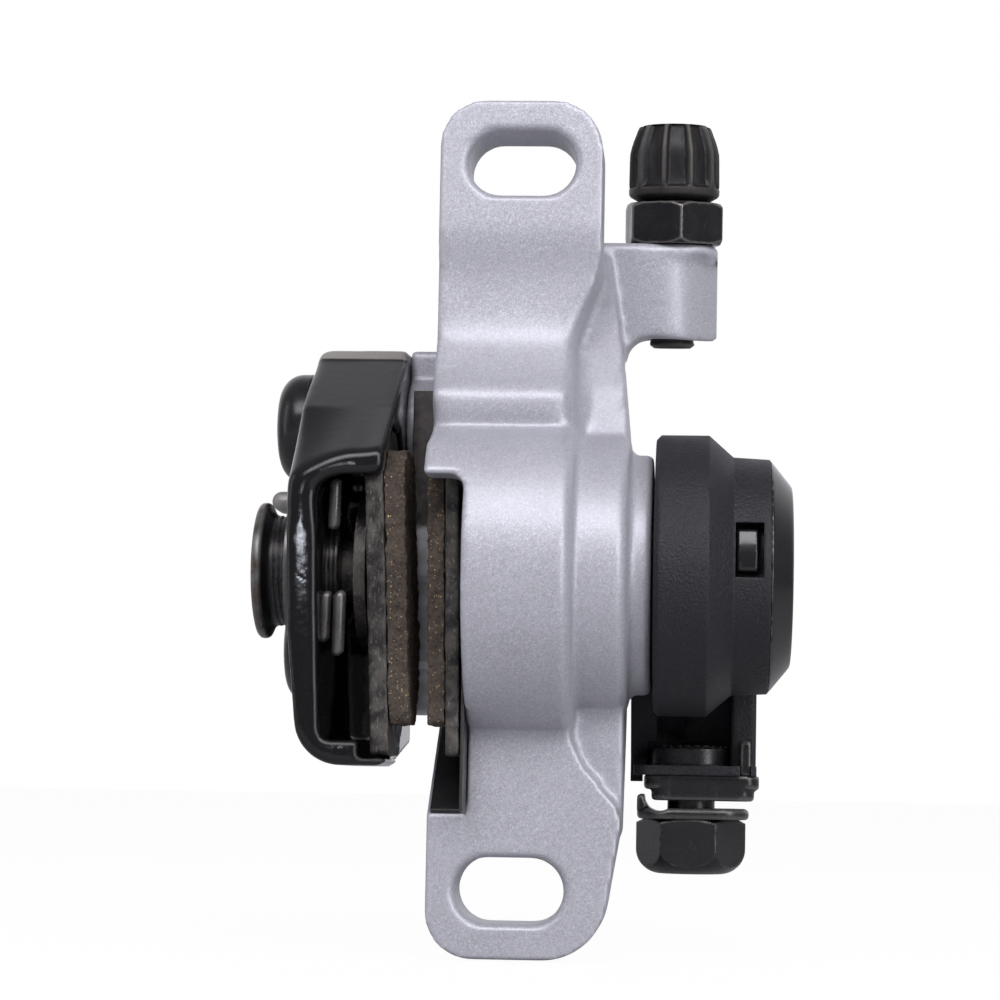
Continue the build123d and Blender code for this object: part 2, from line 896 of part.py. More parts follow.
def pad_bracket():
    """Wheel-side half: web, lip, sloping block and bolted base."""
    bends = [
        block_edge,
        0,
        bracket_knee_bend,
        lip_corner,
        lip_tip_corner,
        lip_top_corner,
        lip_end_corner,
        bracket_knee_bend,
        lip_end_corner,
        0,
        0,
    ]
    body = front_form(bracket_profile(), bends, bracket_front_y, bracket_back_y)
    base = [
        (bracket_base_y, block_top_z),
        (bracket_base_y, bracket_base_low_z),
        (bracket_back_y, bracket_base_low_z),
        (bracket_back_y, block_top_z),
    ]
    base_left_x = bracket_left_x + bracket_taper_x + bracket_lean
    body += side_form(base, [0, bracket_edge, bracket_edge, 0], base_left_x, joint_x)
    slope = [
        (-overrun, block_low_z + block_lip_height),
        (bracket_front_y, block_low_z + block_lip_height),
        (block_slope_y, block_slope_z),
        (block_slope_y, overrun),
        (-overrun, overrun),
    ]
    body -= side_form(slope, 0, -overrun, overrun)
    low = [
        (bracket_back_low_y, -overrun),
        (bracket_back_low_y, bracket_low_z),
        (bracket_back_y + bracket_web, bracket_back_foot_z),
        (bracket_back_y + bracket_web, -overrun),
    ]
    body -= side_form(low, 0, -overrun, overrun)
    front = body.faces().filter_by(Axis.Y).sort_by(Axis.Y)[0]
    body = fillet(front.edges(), bracket_edge)
    crown = body.edges().filter_by(Axis.X).sort_by(Axis.Z)[-2:].sort_by(Axis.Y)[0]
    body = fillet([crown], bracket_edge)
    body += rod_x(screw_boss_r, bracket_left_x, screw_boss_x)
    body -= rod_x(screw_r + running_gap, -overrun, screw_boss_x + overrun)
    grown = side_form(
        pad_plate_outline(slide_gap),
        pad_corner,
        bracket_left_x + bracket_web + bracket_edge,
        overrun,
    )
    body -= grown
    tip_shift = tilt_room(axis_z - plate_low_z, fixed_pad_tilt_deg)
    body -= block(
        fixed_plate_left_x - adjuster_out_travel - slide_gap + tip_shift,
        fixed_plate_right_x + adjuster_in_travel + slide_gap + tip_shift,
        -overrun,
        plate_low_y + slide_gap,
        tip_notch_z,
        plate_low_z + bracket_web,
    )
    body -= block(
        fixed_plate_left_x - piston_travel - tip_shift,
        overrun,
        axis_y,
        tab_back_y + slide_gap,
        window_low_z,
        window_high_z,
    )
    body -= block(joint_x, overrun, lip_back_y, overrun, -overrun, axis_z)
    for z, sink in bolt_places():
        body -= rod_x(bolt_r + bolt_clearance, -overrun, overrun, bolt_y, z)
        body -= rod_x(washer_r + slide_gap, -overrun, bracket_left_x + sink, bolt_y, z)
    body -= rod_x(pin_r + pin_hole_gap, -overrun, overrun, pin_y, pin_z)
    return body


def bolt_places():
    """Height of each bracket bolt, and how far its seat is sunk."""
    return ((bolt_high_z, 0), (bolt_low_z, bolt_low_sink))


def bracket_bolt(z, sink):
    """Round-headed socket bolt along X."""
    seat_x = bracket_left_x + sink - washer_thickness
    body = rod_x(bolt_r, seat_x, bolt_end_x + sink, bolt_y, z)
    head_left = seat_x - head_height
    outline = [
        (head_left, 0),
        (head_left, head_r - head_height + head_rim),
        (seat_x - head_rim, head_r),
        (seat_x, head_r),
        (seat_x, 0),
    ]
    plane = Plane(origin=(0, bolt_y, z), x_dir=(1, 0, 0), z_dir=(0, 0, 1))
    dome = [
        Line(outline[0], outline[1]),
        ThreePointArc(outline[1], button_middle(seat_x, head_left), outline[2]),
        Line(outline[2], outline[3]),
        Line(outline[3], outline[4]),
        Line(outline[4], outline[0]),
    ]
    head = revolve(plane * make_face(dome), Axis((0, bolt_y, z), (1, 0, 0)))
    body += head
    socket_end = head_left + head_socket_depth
    return body - hexagon_x(head_socket_flats, head_left - overrun, socket_end, bolt_y, z)


def button_middle(seat_x, head_left):
    """Point on the head's rounded shoulder."""
    rise = head_height - head_rim
    turn = math.radians(quarter_turn * half_share)
    return (
        seat_x - head_rim - rise * math.sin(turn),
        head_r - rise + rise * math.cos(turn),
    )


def bracket_washer(z, sink):
    """Flat washer under a bracket bolt head."""
    seat_x = bracket_left_x + sink
    body = rod_x(washer_r, seat_x - washer_thickness, seat_x, bolt_y, z)
    return body - rod_x(bolt_r + running_gap, -overrun, overrun, bolt_y, z)


def pad_adjuster():
    """Flanged screw that moves the fixed pad."""
    outline = [
        (knob_left_x, 0),
        (knob_left_x, knob_r - edge_break),
        (knob_left_x + edge_break, knob_r),
        (knob_right_x, knob_r),
        (knob_neck_x, screw_r),
        (screw_end_x - edge_break, screw_r),
        (screw_end_x, screw_r - edge_break),
        (screw_end_x, 0),
    ]
    body = turned_x(outline)
    body -= hexagon_x(knob_socket_flats, -overrun, knob_left_x + knob_socket_depth)
    return body


def pressure_plate():
    """Disc between the adjuster and the fixed pad, with a steady hub."""
    right = fixed_plate_left_x - tilt_room(press_plate_r, fixed_pad_tilt_deg) - running_gap
    left = right - press_thickness
    body = rod_x(press_plate_r, left + edge_break + edge_break, right)
    body += rod_x(press_hub_r, screw_end_x, right)
    return body


def adjuster_detent():
    """Spring plate on the bracket that steadies the adjuster."""
    left = bracket_left_x - detent_thickness
    body = rod_x(detent_r, left, bracket_left_x)
    body += block(
        left,
        bracket_left_x,
        axis_y - detent_tab_width * half_share,
        axis_y + detent_tab_width * half_share,
        axis_z,
        axis_z + detent_tab_length,
    )
    body -= rod_x(screw_r + detent_gap, -overrun, overrun)
    return body


def pocket_liner():
    """Thin sheet on the pocket floor and its lower slope."""
    left = casting_left_x + edge_break
    right = pocket_floor_x
    floor = [
        (pad_front_y, axis_z),
        (pad_front_y, pocket_low_z + slide_gap),
        (0, pocket_low_z + liner_gap),
        (pocket_back_y - liner_gap, pocket_back_low_z + liner_gap),
        (pocket_back_y - liner_gap, axis_z),
    ]
    body = side_form(floor, 0, right - liner_thickness, right)
    slope = [
        (0, pocket_low_z + liner_gap),
        (pocket_back_y - liner_gap, pocket_back_low_z + liner_gap),
        (pocket_back_y - liner_gap, pocket_back_low_z + liner_gap + liner_thickness),
        (-liner_thickness, pocket_low_z + liner_gap + liner_thickness),
    ]
    body += side_form(slope, 0, left, right)
    body -= rod_x(cylinder_r + slide_gap, -overrun, overrun)
    return body


# Actuator

def ball_place(angle_deg, radius, x):
    """Point at an angle and radius about the actuator axis."""
    angle = math.radians(angle_deg)
    return (x, axis_y + radius * math.cos(angle), axis_z + radius * math.sin(angle))


def ball_angles():
    """Even spacing of the balls at rest."""
    return [quarter_turn + full_turn * index / ball_count for index in range(ball_count)]


def capsule(start, end, radius):
    """Round-ended rod between two points."""
    body = Pos(*start) * Sphere(radius) + Pos(*end) * Sphere(radius)
    run = Vector(*end) - Vector(*start)
    plane = Plane(origin=start, z_dir=run.normalized())
    return body + extrude(plane * Circle(radius), run.length, dir=run.normalized())


def flat_track():
    """Even-depth ring groove in the piston, along which the balls roll."""
    plane = Plane(origin=ball_place(0, ball_circle_r, ball_x), x_dir=(1, 0, 0), z_dir=(0, 0, 1))
    return revolve(plane * Circle(ball_r + track_gap), Axis((0, axis_y, axis_z), (1, 0, 0)))


def ramp_track(angle_deg):
    """Deepening track in the turning disc."""
    roll_deg = arm_travel_deg * half_share
    start = ball_place(angle_deg, ball_circle_r, ball_x)
    end = ball_place(angle_deg - roll_deg, ball_circle_r, ball_x - piston_travel)
    return capsule(start, end, ball_r + track_gap)


def piston():
    """Keyed disc that pushes the moving pad."""
    back = ball_x - disc_gap * half_share
    front = moving_plate_right_x + tilt_room(piston_nose_r, moving_pad_tilt_deg) + running_gap
    outline = [
        (front, 0),
        (front, piston_nose_r),
        (front + piston_nose_length, piston_nose_r),
        (front + piston_nose_length, disc_r - edge_break),
        (front + piston_nose_length + edge_break, disc_r),
        (back, disc_r),
        (back, 0),
    ]
    body = turned_x(outline)
    key = block(
        front + piston_nose_length + edge_break,
        back,
        axis_y,
        axis_y + cylinder_r + key_height - running_gap,
        axis_z - key_width * half_share,
        axis_z + key_width * half_share,
    ) & rod_x(cylinder_r + key_height - running_gap, -overrun, overrun)
    body += key
    body -= rod_x(piston_recess_r, back - piston_recess_depth, back + overrun)
    return body - flat_track()


def ball_cage():
    """Thin ring that keeps the balls apart."""
    left = ball_x - cage_thickness * half_share
    right = ball_x + cage_thickness * half_share
    body = rod_x(cage_outer_r, left, right) - rod_x(cage_inner_r, -overrun, overrun)
    for angle in ball_angles():
        place = ball_place(angle, ball_circle_r, ball_x)
        body -= rod_x(ball_r + running_gap, -overrun, overrun, place[1], place[2])
    return body


def balls():
    """Bearing balls."""
    group = [Pos(*ball_place(angle, ball_circle_r, ball_x)) * Sphere(ball_r) for angle in ball_angles()]
    return Compound(children=group)


def rotating_ramp():
    """Turning disc with the rising tracks."""
    front = ball_x + disc_gap * half_share
    body = turned_x(
        [
            (front, 0),
            (front, ramp_disc_r),
            (ramp_back_x - edge_break, ramp_disc_r),
            (ramp_back_x, ramp_disc_r - edge_break),
            (ramp_back_x, 0),
        ]
    )
    body -= hexagon_x(shaft_hex_size, -overrun, overrun)
    for angle in ball_angles():
        body -= ramp_track(angle)
    return body


def thrust_washer():
    """Ring that takes the clamping force against the housing."""
    body = rod_x(thrust_r, ramp_back_x + running_gap, cylinder_end_x - running_gap)
    return body - rod_x(shaft_flange_r + running_gap, -overrun, overrun)


def cam_shaft():
    """Shaft between the arm and the turning disc."""
    body = hexagon_x(shaft_hex_size, shaft_left_x, shaft_journal_x)
    body += rod_x(shaft_flange_r, ramp_back_x, cylinder_end_x - running_gap)
    body += rod_x(shaft_r, ramp_back_x, shaft_square_x)
    half = shaft_square * half_share
    square = block(shaft_square_x, shaft_end_x, axis_y - half, axis_y + half, axis_z - half, axis_z + half)
    body += square & rod_x(shaft_r, -overrun, overrun)
    body -= rod_x(shaft_thread_r, shaft_end_x - shaft_thread_depth, overrun)
    return body


def bushing():
    """Plain bearing in the housing neck."""
    body = rod_x(bushing_r, cylinder_end_x + edge_break, neck_right_x - edge_break)
    return body - rod_x(shaft_r + running_gap, -overrun, overrun)


def dust_seal():
    """Soft ring between neck and hub."""
    body = rod_x(seal_r, neck_right_x, neck_right_x + seal_thickness)
    return body - rod_x(shaft_r + running_gap, -overrun, overrun)


# Arm

def hub_body():
    """Turned hub of the arm."""
    outline = [
        (hub_left_x, spring_room_r),
        (hub_left_x, hub_r - hub_edge),
        (hub_left_x + hub_edge, hub_r),
        (hub_shoulder_x, hub_r),
        (barrel_left_x, barrel_right_r + barrel_draft),
        (barrel_right_x, barrel_right_r),
        (barrel_right_x, barrel_right_r - barrel_wall),
        (hub_wall_right_x, barrel_right_r - barrel_wall),
        (hub_wall_right_x, 0),
        (shaft_square_x, 0),
        (shaft_square_x, hub_boss_r),
        (hub_wall_left_x, hub_boss_r),
        (hub_wall_left_x, spring_room_r),
    ]
    return turned_x(outline)


def sector(x_from, x_to, start_deg):
    """Slice of the cable quadrant from an angle up to its top end."""
    disc = turned_x(
        [
            (x_from, sector_inner_r),
            (x_from, sector_r - edge_break),
            (x_from + edge_break, sector_r),
            (x_to - edge_break, sector_r),
            (x_to, sector_r - edge_break),
            (x_to, sector_inner_r),
        ]
    )
    reach = sector_r + sector_r
    start = math.radians(start_deg)
    end = math.radians(sector_end_deg)
    wedge = [
        (axis_y, axis_z),
        (axis_y + reach * math.cos(start), axis_z + reach * math.sin(start)),
        (axis_y + reach, axis_z - reach),
        (axis_y + reach * math.cos(end), axis_z + reach * math.sin(end)),
    ]
    return disc & side_form(wedge, 0, -overrun, overrun)


def quadrant():
    """Cable quadrant: a long front wall, and a shorter rim with the cable groove."""
    rim = sector(sector_left_x, sector_wall_x, sector_start_deg)
    rim += sector(sector_left_x, sector_right_x, sector_back_start_deg)
    plane = Plane(origin=(track_x, axis_y + sector_r, axis_z), x_dir=(1, 0, 0), z_dir=(0, 0, 1))
    groove = revolve(plane * Circle(track_groove_r), Axis((0, axis_y, axis_z), (1, 0, 0)))
    return rim - groove


def clamp_tail():
    """Shelf for the cable clamp, between the quadrant, a back wall and an outer strap."""
    back_y = tail_y + tail_half_width
    shelf = top_form(
        [
            (shelf_left_x, tail_y - tail_half_width),
            (shelf_right_x, tail_y - tail_half_width),
            (shelf_right_x, back_y),
            (shelf_left_x, back_y),
        ],
        platform_corner,
        shelf_top_z - shelf_thickness,
        shelf_top_z,
    )
    strap = block(
        strap_left_x,
        strap_right_x,
        tail_y - strap_half_width,
        back_y,
        shelf_top_z - edge_break,
        strap_barrel_z,
    )
    strap = fillet(strap.edges().filter_by(Axis.Z), hub_edge)
    wall = block(
        sector_left_x,
        strap_right_x - hub_edge,
        back_y - tail_wall_thickness,
        back_y,
        shelf_top_z - edge_break,
        tail_top_z,
    )
    column = block(
        sector_left_x,
        clamp_x - clamp_nut_r - slide_gap,
        sector_foot_y,
        back_y,
        shelf_top_z - edge_break,
        tail_top_z,
    )
    foot = block(
        sector_left_x,
        platform_left_x - slide_gap,
        sector_foot_y,
        back_y,
        sector_foot_z,
        shelf_top_z,
    )
    keep_out = rod_x(sector_inner_r, -overrun, hub_left_x)
    return shelf + strap + wall + (column - keep_out) + foot


def actuator_arm():
    """Hub, quadrant and clamp tail in one piece."""
    body = hub_body() + quadrant() + clamp_tail()
    body -= rod_x(spring_room_r, -overrun, hub_wall_left_x) - rod_x(hub_boss_r, shaft_square_x, overrun)
    body -= rod_x(barrel_right_r - barrel_wall, hub_wall_right_x, overrun)
    half = shaft_square * half_share
    body -= block(
        -overrun,
        overrun,
        axis_y - half,
        axis_y + half,
        axis_z - half,
        axis_z + half,
    ) & rod_x(shaft_r + running_gap, -overrun, overrun)
    body -= block(
        hub_window_left_x,
        hub_window_right_x,
        -overrun,
        axis_y,
        hub_window_low_z,
        hub_window_high_z,
    )
    body -= block(
        platform_left_x - slide_gap,
        overrun,
        tail_y - tail_half_width,
        overrun,
        -overrun,
        shelf_top_z - shelf_thickness,
    )
    body -= block(
        platform_tab_left_x - running_gap,
        platform_tab_right_x + running_gap,
        -overrun,
        platform_tab_back_y + running_gap,
        -overrun,
        shelf_top_z + edge_break,
    )
    body -= rod_z(clamp_r + running_gap, -overrun, clamp_nut_top_z, clamp_x, tail_y)
    body -= rod_z(clamp_nut_r + slide_gap, shelf_top_z, axis_z, clamp_x, tail_y) & block(
        -overrun, overrun, -overrun, overrun, -overrun, clamp_nut_top_z + edge_break
    )
    return body


def clamp_nut():
    """Round nut with a toothed top, on the clamp shelf."""
    body = turned_z(
        [
            (0, shelf_top_z),
            (clamp_nut_r, shelf_top_z),
            (clamp_nut_r, clamp_nut_top_z - edge_break),
            (clamp_nut_r - edge_break, clamp_nut_top_z),
            (0, clamp_nut_top_z),
        ],
        clamp_x,
        tail_y,
    )
    tooth = Plane(origin=(clamp_x, tail_y, clamp_nut_top_z), x_dir=(0, 1, 0), z_dir=(1, 0, 0))
    notch = Rot(0, 0, quarter_turn * half_share) * Rectangle(tooth_depth, tooth_depth)
    cutter = extrude(tooth * notch, clamp_nut_r + edge_break, dir=(1, 0, 0))
    for index in range(clamp_nut_teeth):
        turn = full_turn * index / clamp_nut_teeth
        body -= cutter.rotate(Axis((clamp_x, tail_y, 0), (0, 0, 1)), turn)
    return body - rod_z(clamp_r, -overrun, overrun, clamp_x, tail_y)


def clamp_platform():
    """Plate under the shelf, folded double, with a tab that stops it turning."""
    top = shelf_top_z - shelf_thickness
    middle = top - platform_thickness
    low = middle - platform_fold_thickness
    front_y = tail_y - platform_half_width
    back_y = tail_y + platform_half_width
    upper = [
        (platform_left_x, front_y),
        (platform_right_x, front_y),
        (platform_right_x, back_y),
        (platform_left_x, back_y),
    ]
    lower = [
        (platform_fold_left_x, front_y),
        (platform_fold_right_x, front_y),
        (platform_fold_right_x, back_y),
        (platform_fold_left_x, back_y),
    ]
    body = top_form(upper, platform_corner, middle, top)
    body = fillet(body.edges().group_by(Axis.Z)[0], edge_break)
    fold = top_form(lower, platform_corner, low, middle + edge_break)
    body += fillet(fold.edges().group_by(Axis.Z)[0], edge_break)
    tab = block(
        platform_tab_left_x,
        platform_tab_right_x,
        platform_tab_front_y,
        platform_tab_back_y,
        top - edge_break,
        platform_tab_top_z,
    )
    body += fillet(tab.edges().group_by(Axis.Z)[-1], edge_break)
    return body - rod_z(clamp_r + running_gap, -overrun, overrun, clamp_x, tail_y)


def clamp_plate():
    """Lower plate that grips the cable, with a shallow channel and a turned-up end."""
    outline = [
        (lower_left_x, tail_y - lower_half_width),
        (lower_right_x, tail_y - lower_half_width),
        (lower_right_x, tail_y + lower_half_width),
        (lower_left_x, tail_y + lower_half_width),
    ]
    body = top_form(outline, platform_corner + platform_corner, lower_bottom_z, lower_top_z)
    body = fillet(body.edges().group_by(Axis.Z)[0], edge_break)
    body = fillet(body.edges().group_by(Axis.Z)[-1], edge_break)
    lip = block(
        lower_left_x,
        lower_left_x + lower_lip_thickness,
        tail_y - lower_lip_half_width,
        tail_y + lower_lip_half_width,
        lower_top_z - edge_break,
        lower_lip_top_z,
    )
    body += fillet(lip.edges().group_by(Axis.Z)[-1], edge_break)
    channel_z = lower_top_z + cable_r + cable_r - channel_depth
    body -= rod_y(cable_r + cable_r, -overrun, overrun, clamp_x - clamp_r - cable_r, channel_z)
    return body - rod_z(clamp_r + running_gap, -overrun, overrun, clamp_x, tail_y)


def clamp_bolt():
    """Hexagon bolt of the cable clamp, its domed head downwards."""
    low = lower_bottom_z - hex_height
    corner_r = corner_radius(hex_flats)
    head = hexagon_z(hex_flats, low, lower_bottom_z, clamp_x, tail_y, clamp_turn_deg)
    plane = Plane(origin=(clamp_x, tail_y, 0), x_dir=(1, 0, 0), z_dir=(0, -1, 0))
    foot = (corner_r - hex_dome_inset, low)
    knee = (corner_r, low + hex_dome_height)
    outline = [
        Line((0, low), foot),
        TangentArc(knee, foot, tangent=(0, -1)),
        Line(knee, (corner_r, lower_bottom_z - hex_chamfer * half_share)),
        Line((corner_r, lower_bottom_z - hex_chamfer * half_share), (corner_r - hex_chamfer, lower_bottom_z)),
        Line((corner_r - hex_chamfer, lower_bottom_z), (0, lower_bottom_z)),
        Line((0, lower_bottom_z), (0, low)),
    ]
    dome = revolve(plane * make_face(outline), Axis((clamp_x, tail_y, 0), (0, 0, 1)))
    shank = rod_z(clamp_r, lower_bottom_z, clamp_nut_top_z - edge_break, clamp_x, tail_y)
    return (head & dome) + shank


def arm_bolt():
    """Socket bolt that holds the arm on the shaft."""
    seat = hub_wall_right_x + arm_washer_thickness
    body = turned_x(
        [
            (seat - arm_bolt_length, 0),
            (seat - arm_bolt_length, shaft_thread_r),
            (seat, shaft_thread_r),
            (seat, arm_bolt_head_r),
            (seat + arm_bolt_head_height - edge_break, arm_bolt_head_r),
            (seat + arm_bolt_head_height, arm_bolt_head_r - edge_break),
            (seat + arm_bolt_head_height, 0),
        ]
    )
    tip = seat + arm_bolt_head_height
    return body - hexagon_x(arm_bolt_socket_flats, tip - arm_bolt_socket_depth, tip + overrun)


def arm_washer():
    """Washer between the arm bolt and the hub."""
    body = rod_x(arm_washer_r, hub_wall_right_x, hub_wall_right_x + arm_washer_thickness)
    return body - rod_x(shaft_thread_r + running_gap, -overrun, overrun)


def arm_cap():
    """Bevelled cap with a sleeve and a snap tab in the hub window."""
    end_r = barrel_right_r - cap_bevel
    sleeve_r = barrel_right_r - barrel_wall - cap_sleeve_gap
    body = turned_x(
        [
            (barrel_right_x, 0),
            (barrel_right_x, barrel_right_r),
            (cap_bevel_x, end_r),
            (cap_right_x, end_r - edge_break),
            (cap_right_x, 0),
        ]
    )
    body += rod_x(sleeve_r, cap_sleeve_x, barrel_right_x)
    body -= rod_x(sleeve_r - cap_sleeve_wall, -overrun, cap_right_x - cap_thickness)
    tab = rod_x(sleeve_r + cap_tab_rise, cap_tab_left_x, cap_tab_right_x) & block(
        -overrun, overrun, -overrun, axis_y, cap_tab_low_z, cap_tab_high_z
    )
    tab -= rod_x(sleeve_r - cap_sleeve_wall, -overrun, overrun)
    return body + tab


def return_spring():
    """Coil that turns the arm back."""
    helix = Helix(coil_pitch, coil_pitch * coil_turns, coil_r)
    place = Plane(origin=(coil_left_x, axis_y, axis_z), x_dir=(0, 1, 0), z_dir=(1, 0, 0))
    path = place * helix
    start = path @ 0
    section = Plane(origin=start, z_dir=path % 0) * Circle(coil_wire_r)
    return sweep(section, path)


# Cable stop hardware

def jam_nut():
    """Hexagon nut that locks the barrel adjuster."""
    body = hexagon_z(hex_flats, stop_top_z, stop_top_z + jam_height, stop_x, stop_y, jam_turn_deg)
    corner_r = corner_radius(hex_flats)
    limit = turned_z(
        [
            (0, stop_top_z),
            (corner_r - jam_chamfer, stop_top_z),
            (corner_r, stop_top_z + jam_chamfer * half_share),
            (corner_r, stop_top_z + jam_height - jam_chamfer * half_share),
            (corner_r - jam_chamfer, stop_top_z + jam_height),
            (0, stop_top_z + jam_height),
        ],
        stop_x,
        stop_y,
    )
    body = (body & limit) - rod_z(thread_r + thread_hole_gap, 0, overrun, stop_x, stop_y)
    return tilted(body)


def flute():
    """Long hollow that follows the barrel's side and its tapered top."""
    axis_r = flute_r - flute_depth
    foot = (stop_x + barrel_wide_r + axis_r, stop_y, flute_foot_z)
    knee = (stop_x + barrel_wide_r + axis_r, stop_y, barrel_wide_high_z)
    rise = barrel_top_z - barrel_wide_high_z
    fall = barrel_wide_r - barrel_top_r
    end = (knee[0] - fall - fall, stop_y, barrel_wide_high_z + rise + rise)
    return capsule(foot, knee, flute_r) + capsule(knee, end, flute_r)


def barrel_adjuster():
    """Fluted screw with the housing socket."""
    outline = [
        (0, barrel_tip_z),
        (thread_r - barrel_tip_chamfer, barrel_tip_z),
        (thread_r, barrel_tip_z + barrel_tip_chamfer),
        (thread_r, barrel_low_z),
        (barrel_foot_r, barrel_low_z),
        (barrel_wide_r, barrel_wide_low_z),
        (barrel_wide_r, barrel_wide_high_z),
        (barrel_top_r, barrel_top_z - barrel_chamfer),
        (barrel_top_r - barrel_chamfer, barrel_top_z),
        (0, barrel_top_z),
    ]
    body = turned_z(outline, stop_x, stop_y)
    hollow = flute()
    for index in range(flute_count):
        turn = flute_turn_deg + full_turn * index / flute_count
        body -= hollow.rotate(Axis((stop_x, stop_y, 0), (0, 0, 1)), turn)
    body -= rod_z(housing_r, barrel_top_z - housing_depth, overrun, stop_x, stop_y)
    body -= rod_z(cable_bore_r, 0, overrun, stop_x, stop_y)
    return tilted(body)


def pair(maker):
    """Two alike fasteners at the two bolt places."""
    return Compound(children=[maker(z, sink) for z, sink in bolt_places()])


def main():
    """Writes one file for each node."""
    os.makedirs("parts", exist_ok=True)
    nodes = {
        "caliper_body": caliper_body(),
        "pad_bracket": pad_bracket(),
        "bracket_bolts": pair(bracket_bolt),
        "bracket_washers": pair(bracket_washer),
        "pad_adjuster": pad_adjuster(),
        "pressure_plate": pressure_plate(),
        "adjuster_detent": adjuster_detent(),
        "fixed_pad_plate": pad_plate(
            fixed_plate_left_x, fixed_plate_right_x, fixed_plate_right_x, fixed_pad_tilt_deg
        ),
        "fixed_pad_lining": pad_lining(
            fixed_plate_right_x, fixed_lining_right_x, fixed_plate_right_x, fixed_pad_tilt_deg
        ),
        "moving_pad_plate": pad_plate(
            moving_lining_right_x, moving_plate_right_x, moving_lining_right_x, moving_pad_tilt_deg
        ),
        "moving_pad_lining": pad_lining(
            moving_lining_left_x, moving_lining_right_x, moving_lining_right_x, moving_pad_tilt_deg
        ),
        "pad_retainer": pad_retainer(),
        "pad_spring": pad_spring(),
        "pocket_liner": pocket_liner(),
        "piston": piston(),
        "ball_cage": ball_cage(),
        "balls": balls(),
        "rotating_ramp": rotating_ramp(),
        "thrust_washer": thrust_washer(),
        "cam_shaft": cam_shaft(),
        "bushing": bushing(),
        "dust_seal": dust_seal(),
        "actuator_arm": actuator_arm(),
        "arm_bolt": arm_bolt(),
        "arm_washer": arm_washer(),
        "arm_cap": arm_cap(),
        "return_spring": return_spring(),
        "clamp_nut": clamp_nut(),
        "clamp_platform": clamp_platform(),
        "clamp_plate": clamp_plate(),
        "clamp_bolt": clamp_bolt(),
        "jam_nut": jam_nut(),
        "barrel_adjuster": barrel_adjuster(),
    }
    for name, shape in nodes.items():
        export_step(shape, f"parts/{name}.step")


main()
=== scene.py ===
"""Bicycle disc brake caliper: studio scene, finishes and finely worked pieces."""

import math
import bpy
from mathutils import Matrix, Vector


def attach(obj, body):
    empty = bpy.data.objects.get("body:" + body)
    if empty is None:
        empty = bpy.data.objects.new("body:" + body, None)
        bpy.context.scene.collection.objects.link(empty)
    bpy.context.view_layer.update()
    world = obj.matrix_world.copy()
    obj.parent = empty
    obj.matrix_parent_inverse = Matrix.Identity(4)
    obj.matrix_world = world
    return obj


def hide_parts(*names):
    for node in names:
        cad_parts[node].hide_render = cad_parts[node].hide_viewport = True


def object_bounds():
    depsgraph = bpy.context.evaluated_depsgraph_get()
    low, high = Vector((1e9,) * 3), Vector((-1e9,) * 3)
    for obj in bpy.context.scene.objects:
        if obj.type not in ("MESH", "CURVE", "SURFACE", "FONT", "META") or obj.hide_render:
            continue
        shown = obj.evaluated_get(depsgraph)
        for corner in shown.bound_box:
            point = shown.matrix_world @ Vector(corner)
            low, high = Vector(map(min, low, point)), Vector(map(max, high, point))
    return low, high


bl_info = {
    "name": "Disc brake caliper",
    "version": (1, 0, 0),
    "blender": (4, 5, 0),
    "location": "3D View > Sidebar > Caliper",
    "description": "Dresses a cable-operated disc brake caliper",
    "category": "Object",
}

import bpy
from mathutils import Matrix, Vector

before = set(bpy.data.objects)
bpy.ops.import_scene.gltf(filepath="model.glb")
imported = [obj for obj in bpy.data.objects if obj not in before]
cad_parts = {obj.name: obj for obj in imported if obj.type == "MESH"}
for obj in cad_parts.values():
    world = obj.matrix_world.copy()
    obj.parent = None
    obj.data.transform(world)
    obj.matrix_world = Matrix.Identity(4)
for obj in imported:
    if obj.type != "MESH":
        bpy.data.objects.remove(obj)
cad_low, cad_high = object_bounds()

MM = 0.001

# finish of each node
NODE_FINISH = {
    "cast_silver": ["caliper_body"],
    "black_enamel": ["pad_bracket"],
    "arm_black": ["actuator_arm"],
    "cap_plastic": ["arm_cap"],
    "black_oxide": [
        "bracket_bolts", "bracket_washers", "clamp_nut", "clamp_platform", "clamp_plate",
        "clamp_bolt", "jam_nut", "arm_bolt", "arm_washer",
    ],
    "barrel_black": ["barrel_adjuster"],
    "knob_steel": ["pad_adjuster"],
    "pad_steel": ["fixed_pad_plate", "moving_pad_plate", "pressure_plate"],
    "friction": ["fixed_pad_lining", "moving_pad_lining"],
    "pin_steel": ["pad_retainer"],
    "bright_steel": ["balls", "thrust_washer", "rotating_ramp", "cam_shaft", "piston"],
    "dark_spring": ["adjuster_detent", "return_spring"],
    "leaf_steel": ["pad_spring"],
    # dark sheet in the pad pocket: painted shade under the pads and bracket
    "shade_liner": ["pocket_liner"],
    "bearing_bronze": ["bushing", "ball_cage"],
    "seal_rubber": ["dust_seal"],
}


# Settings that a user would change

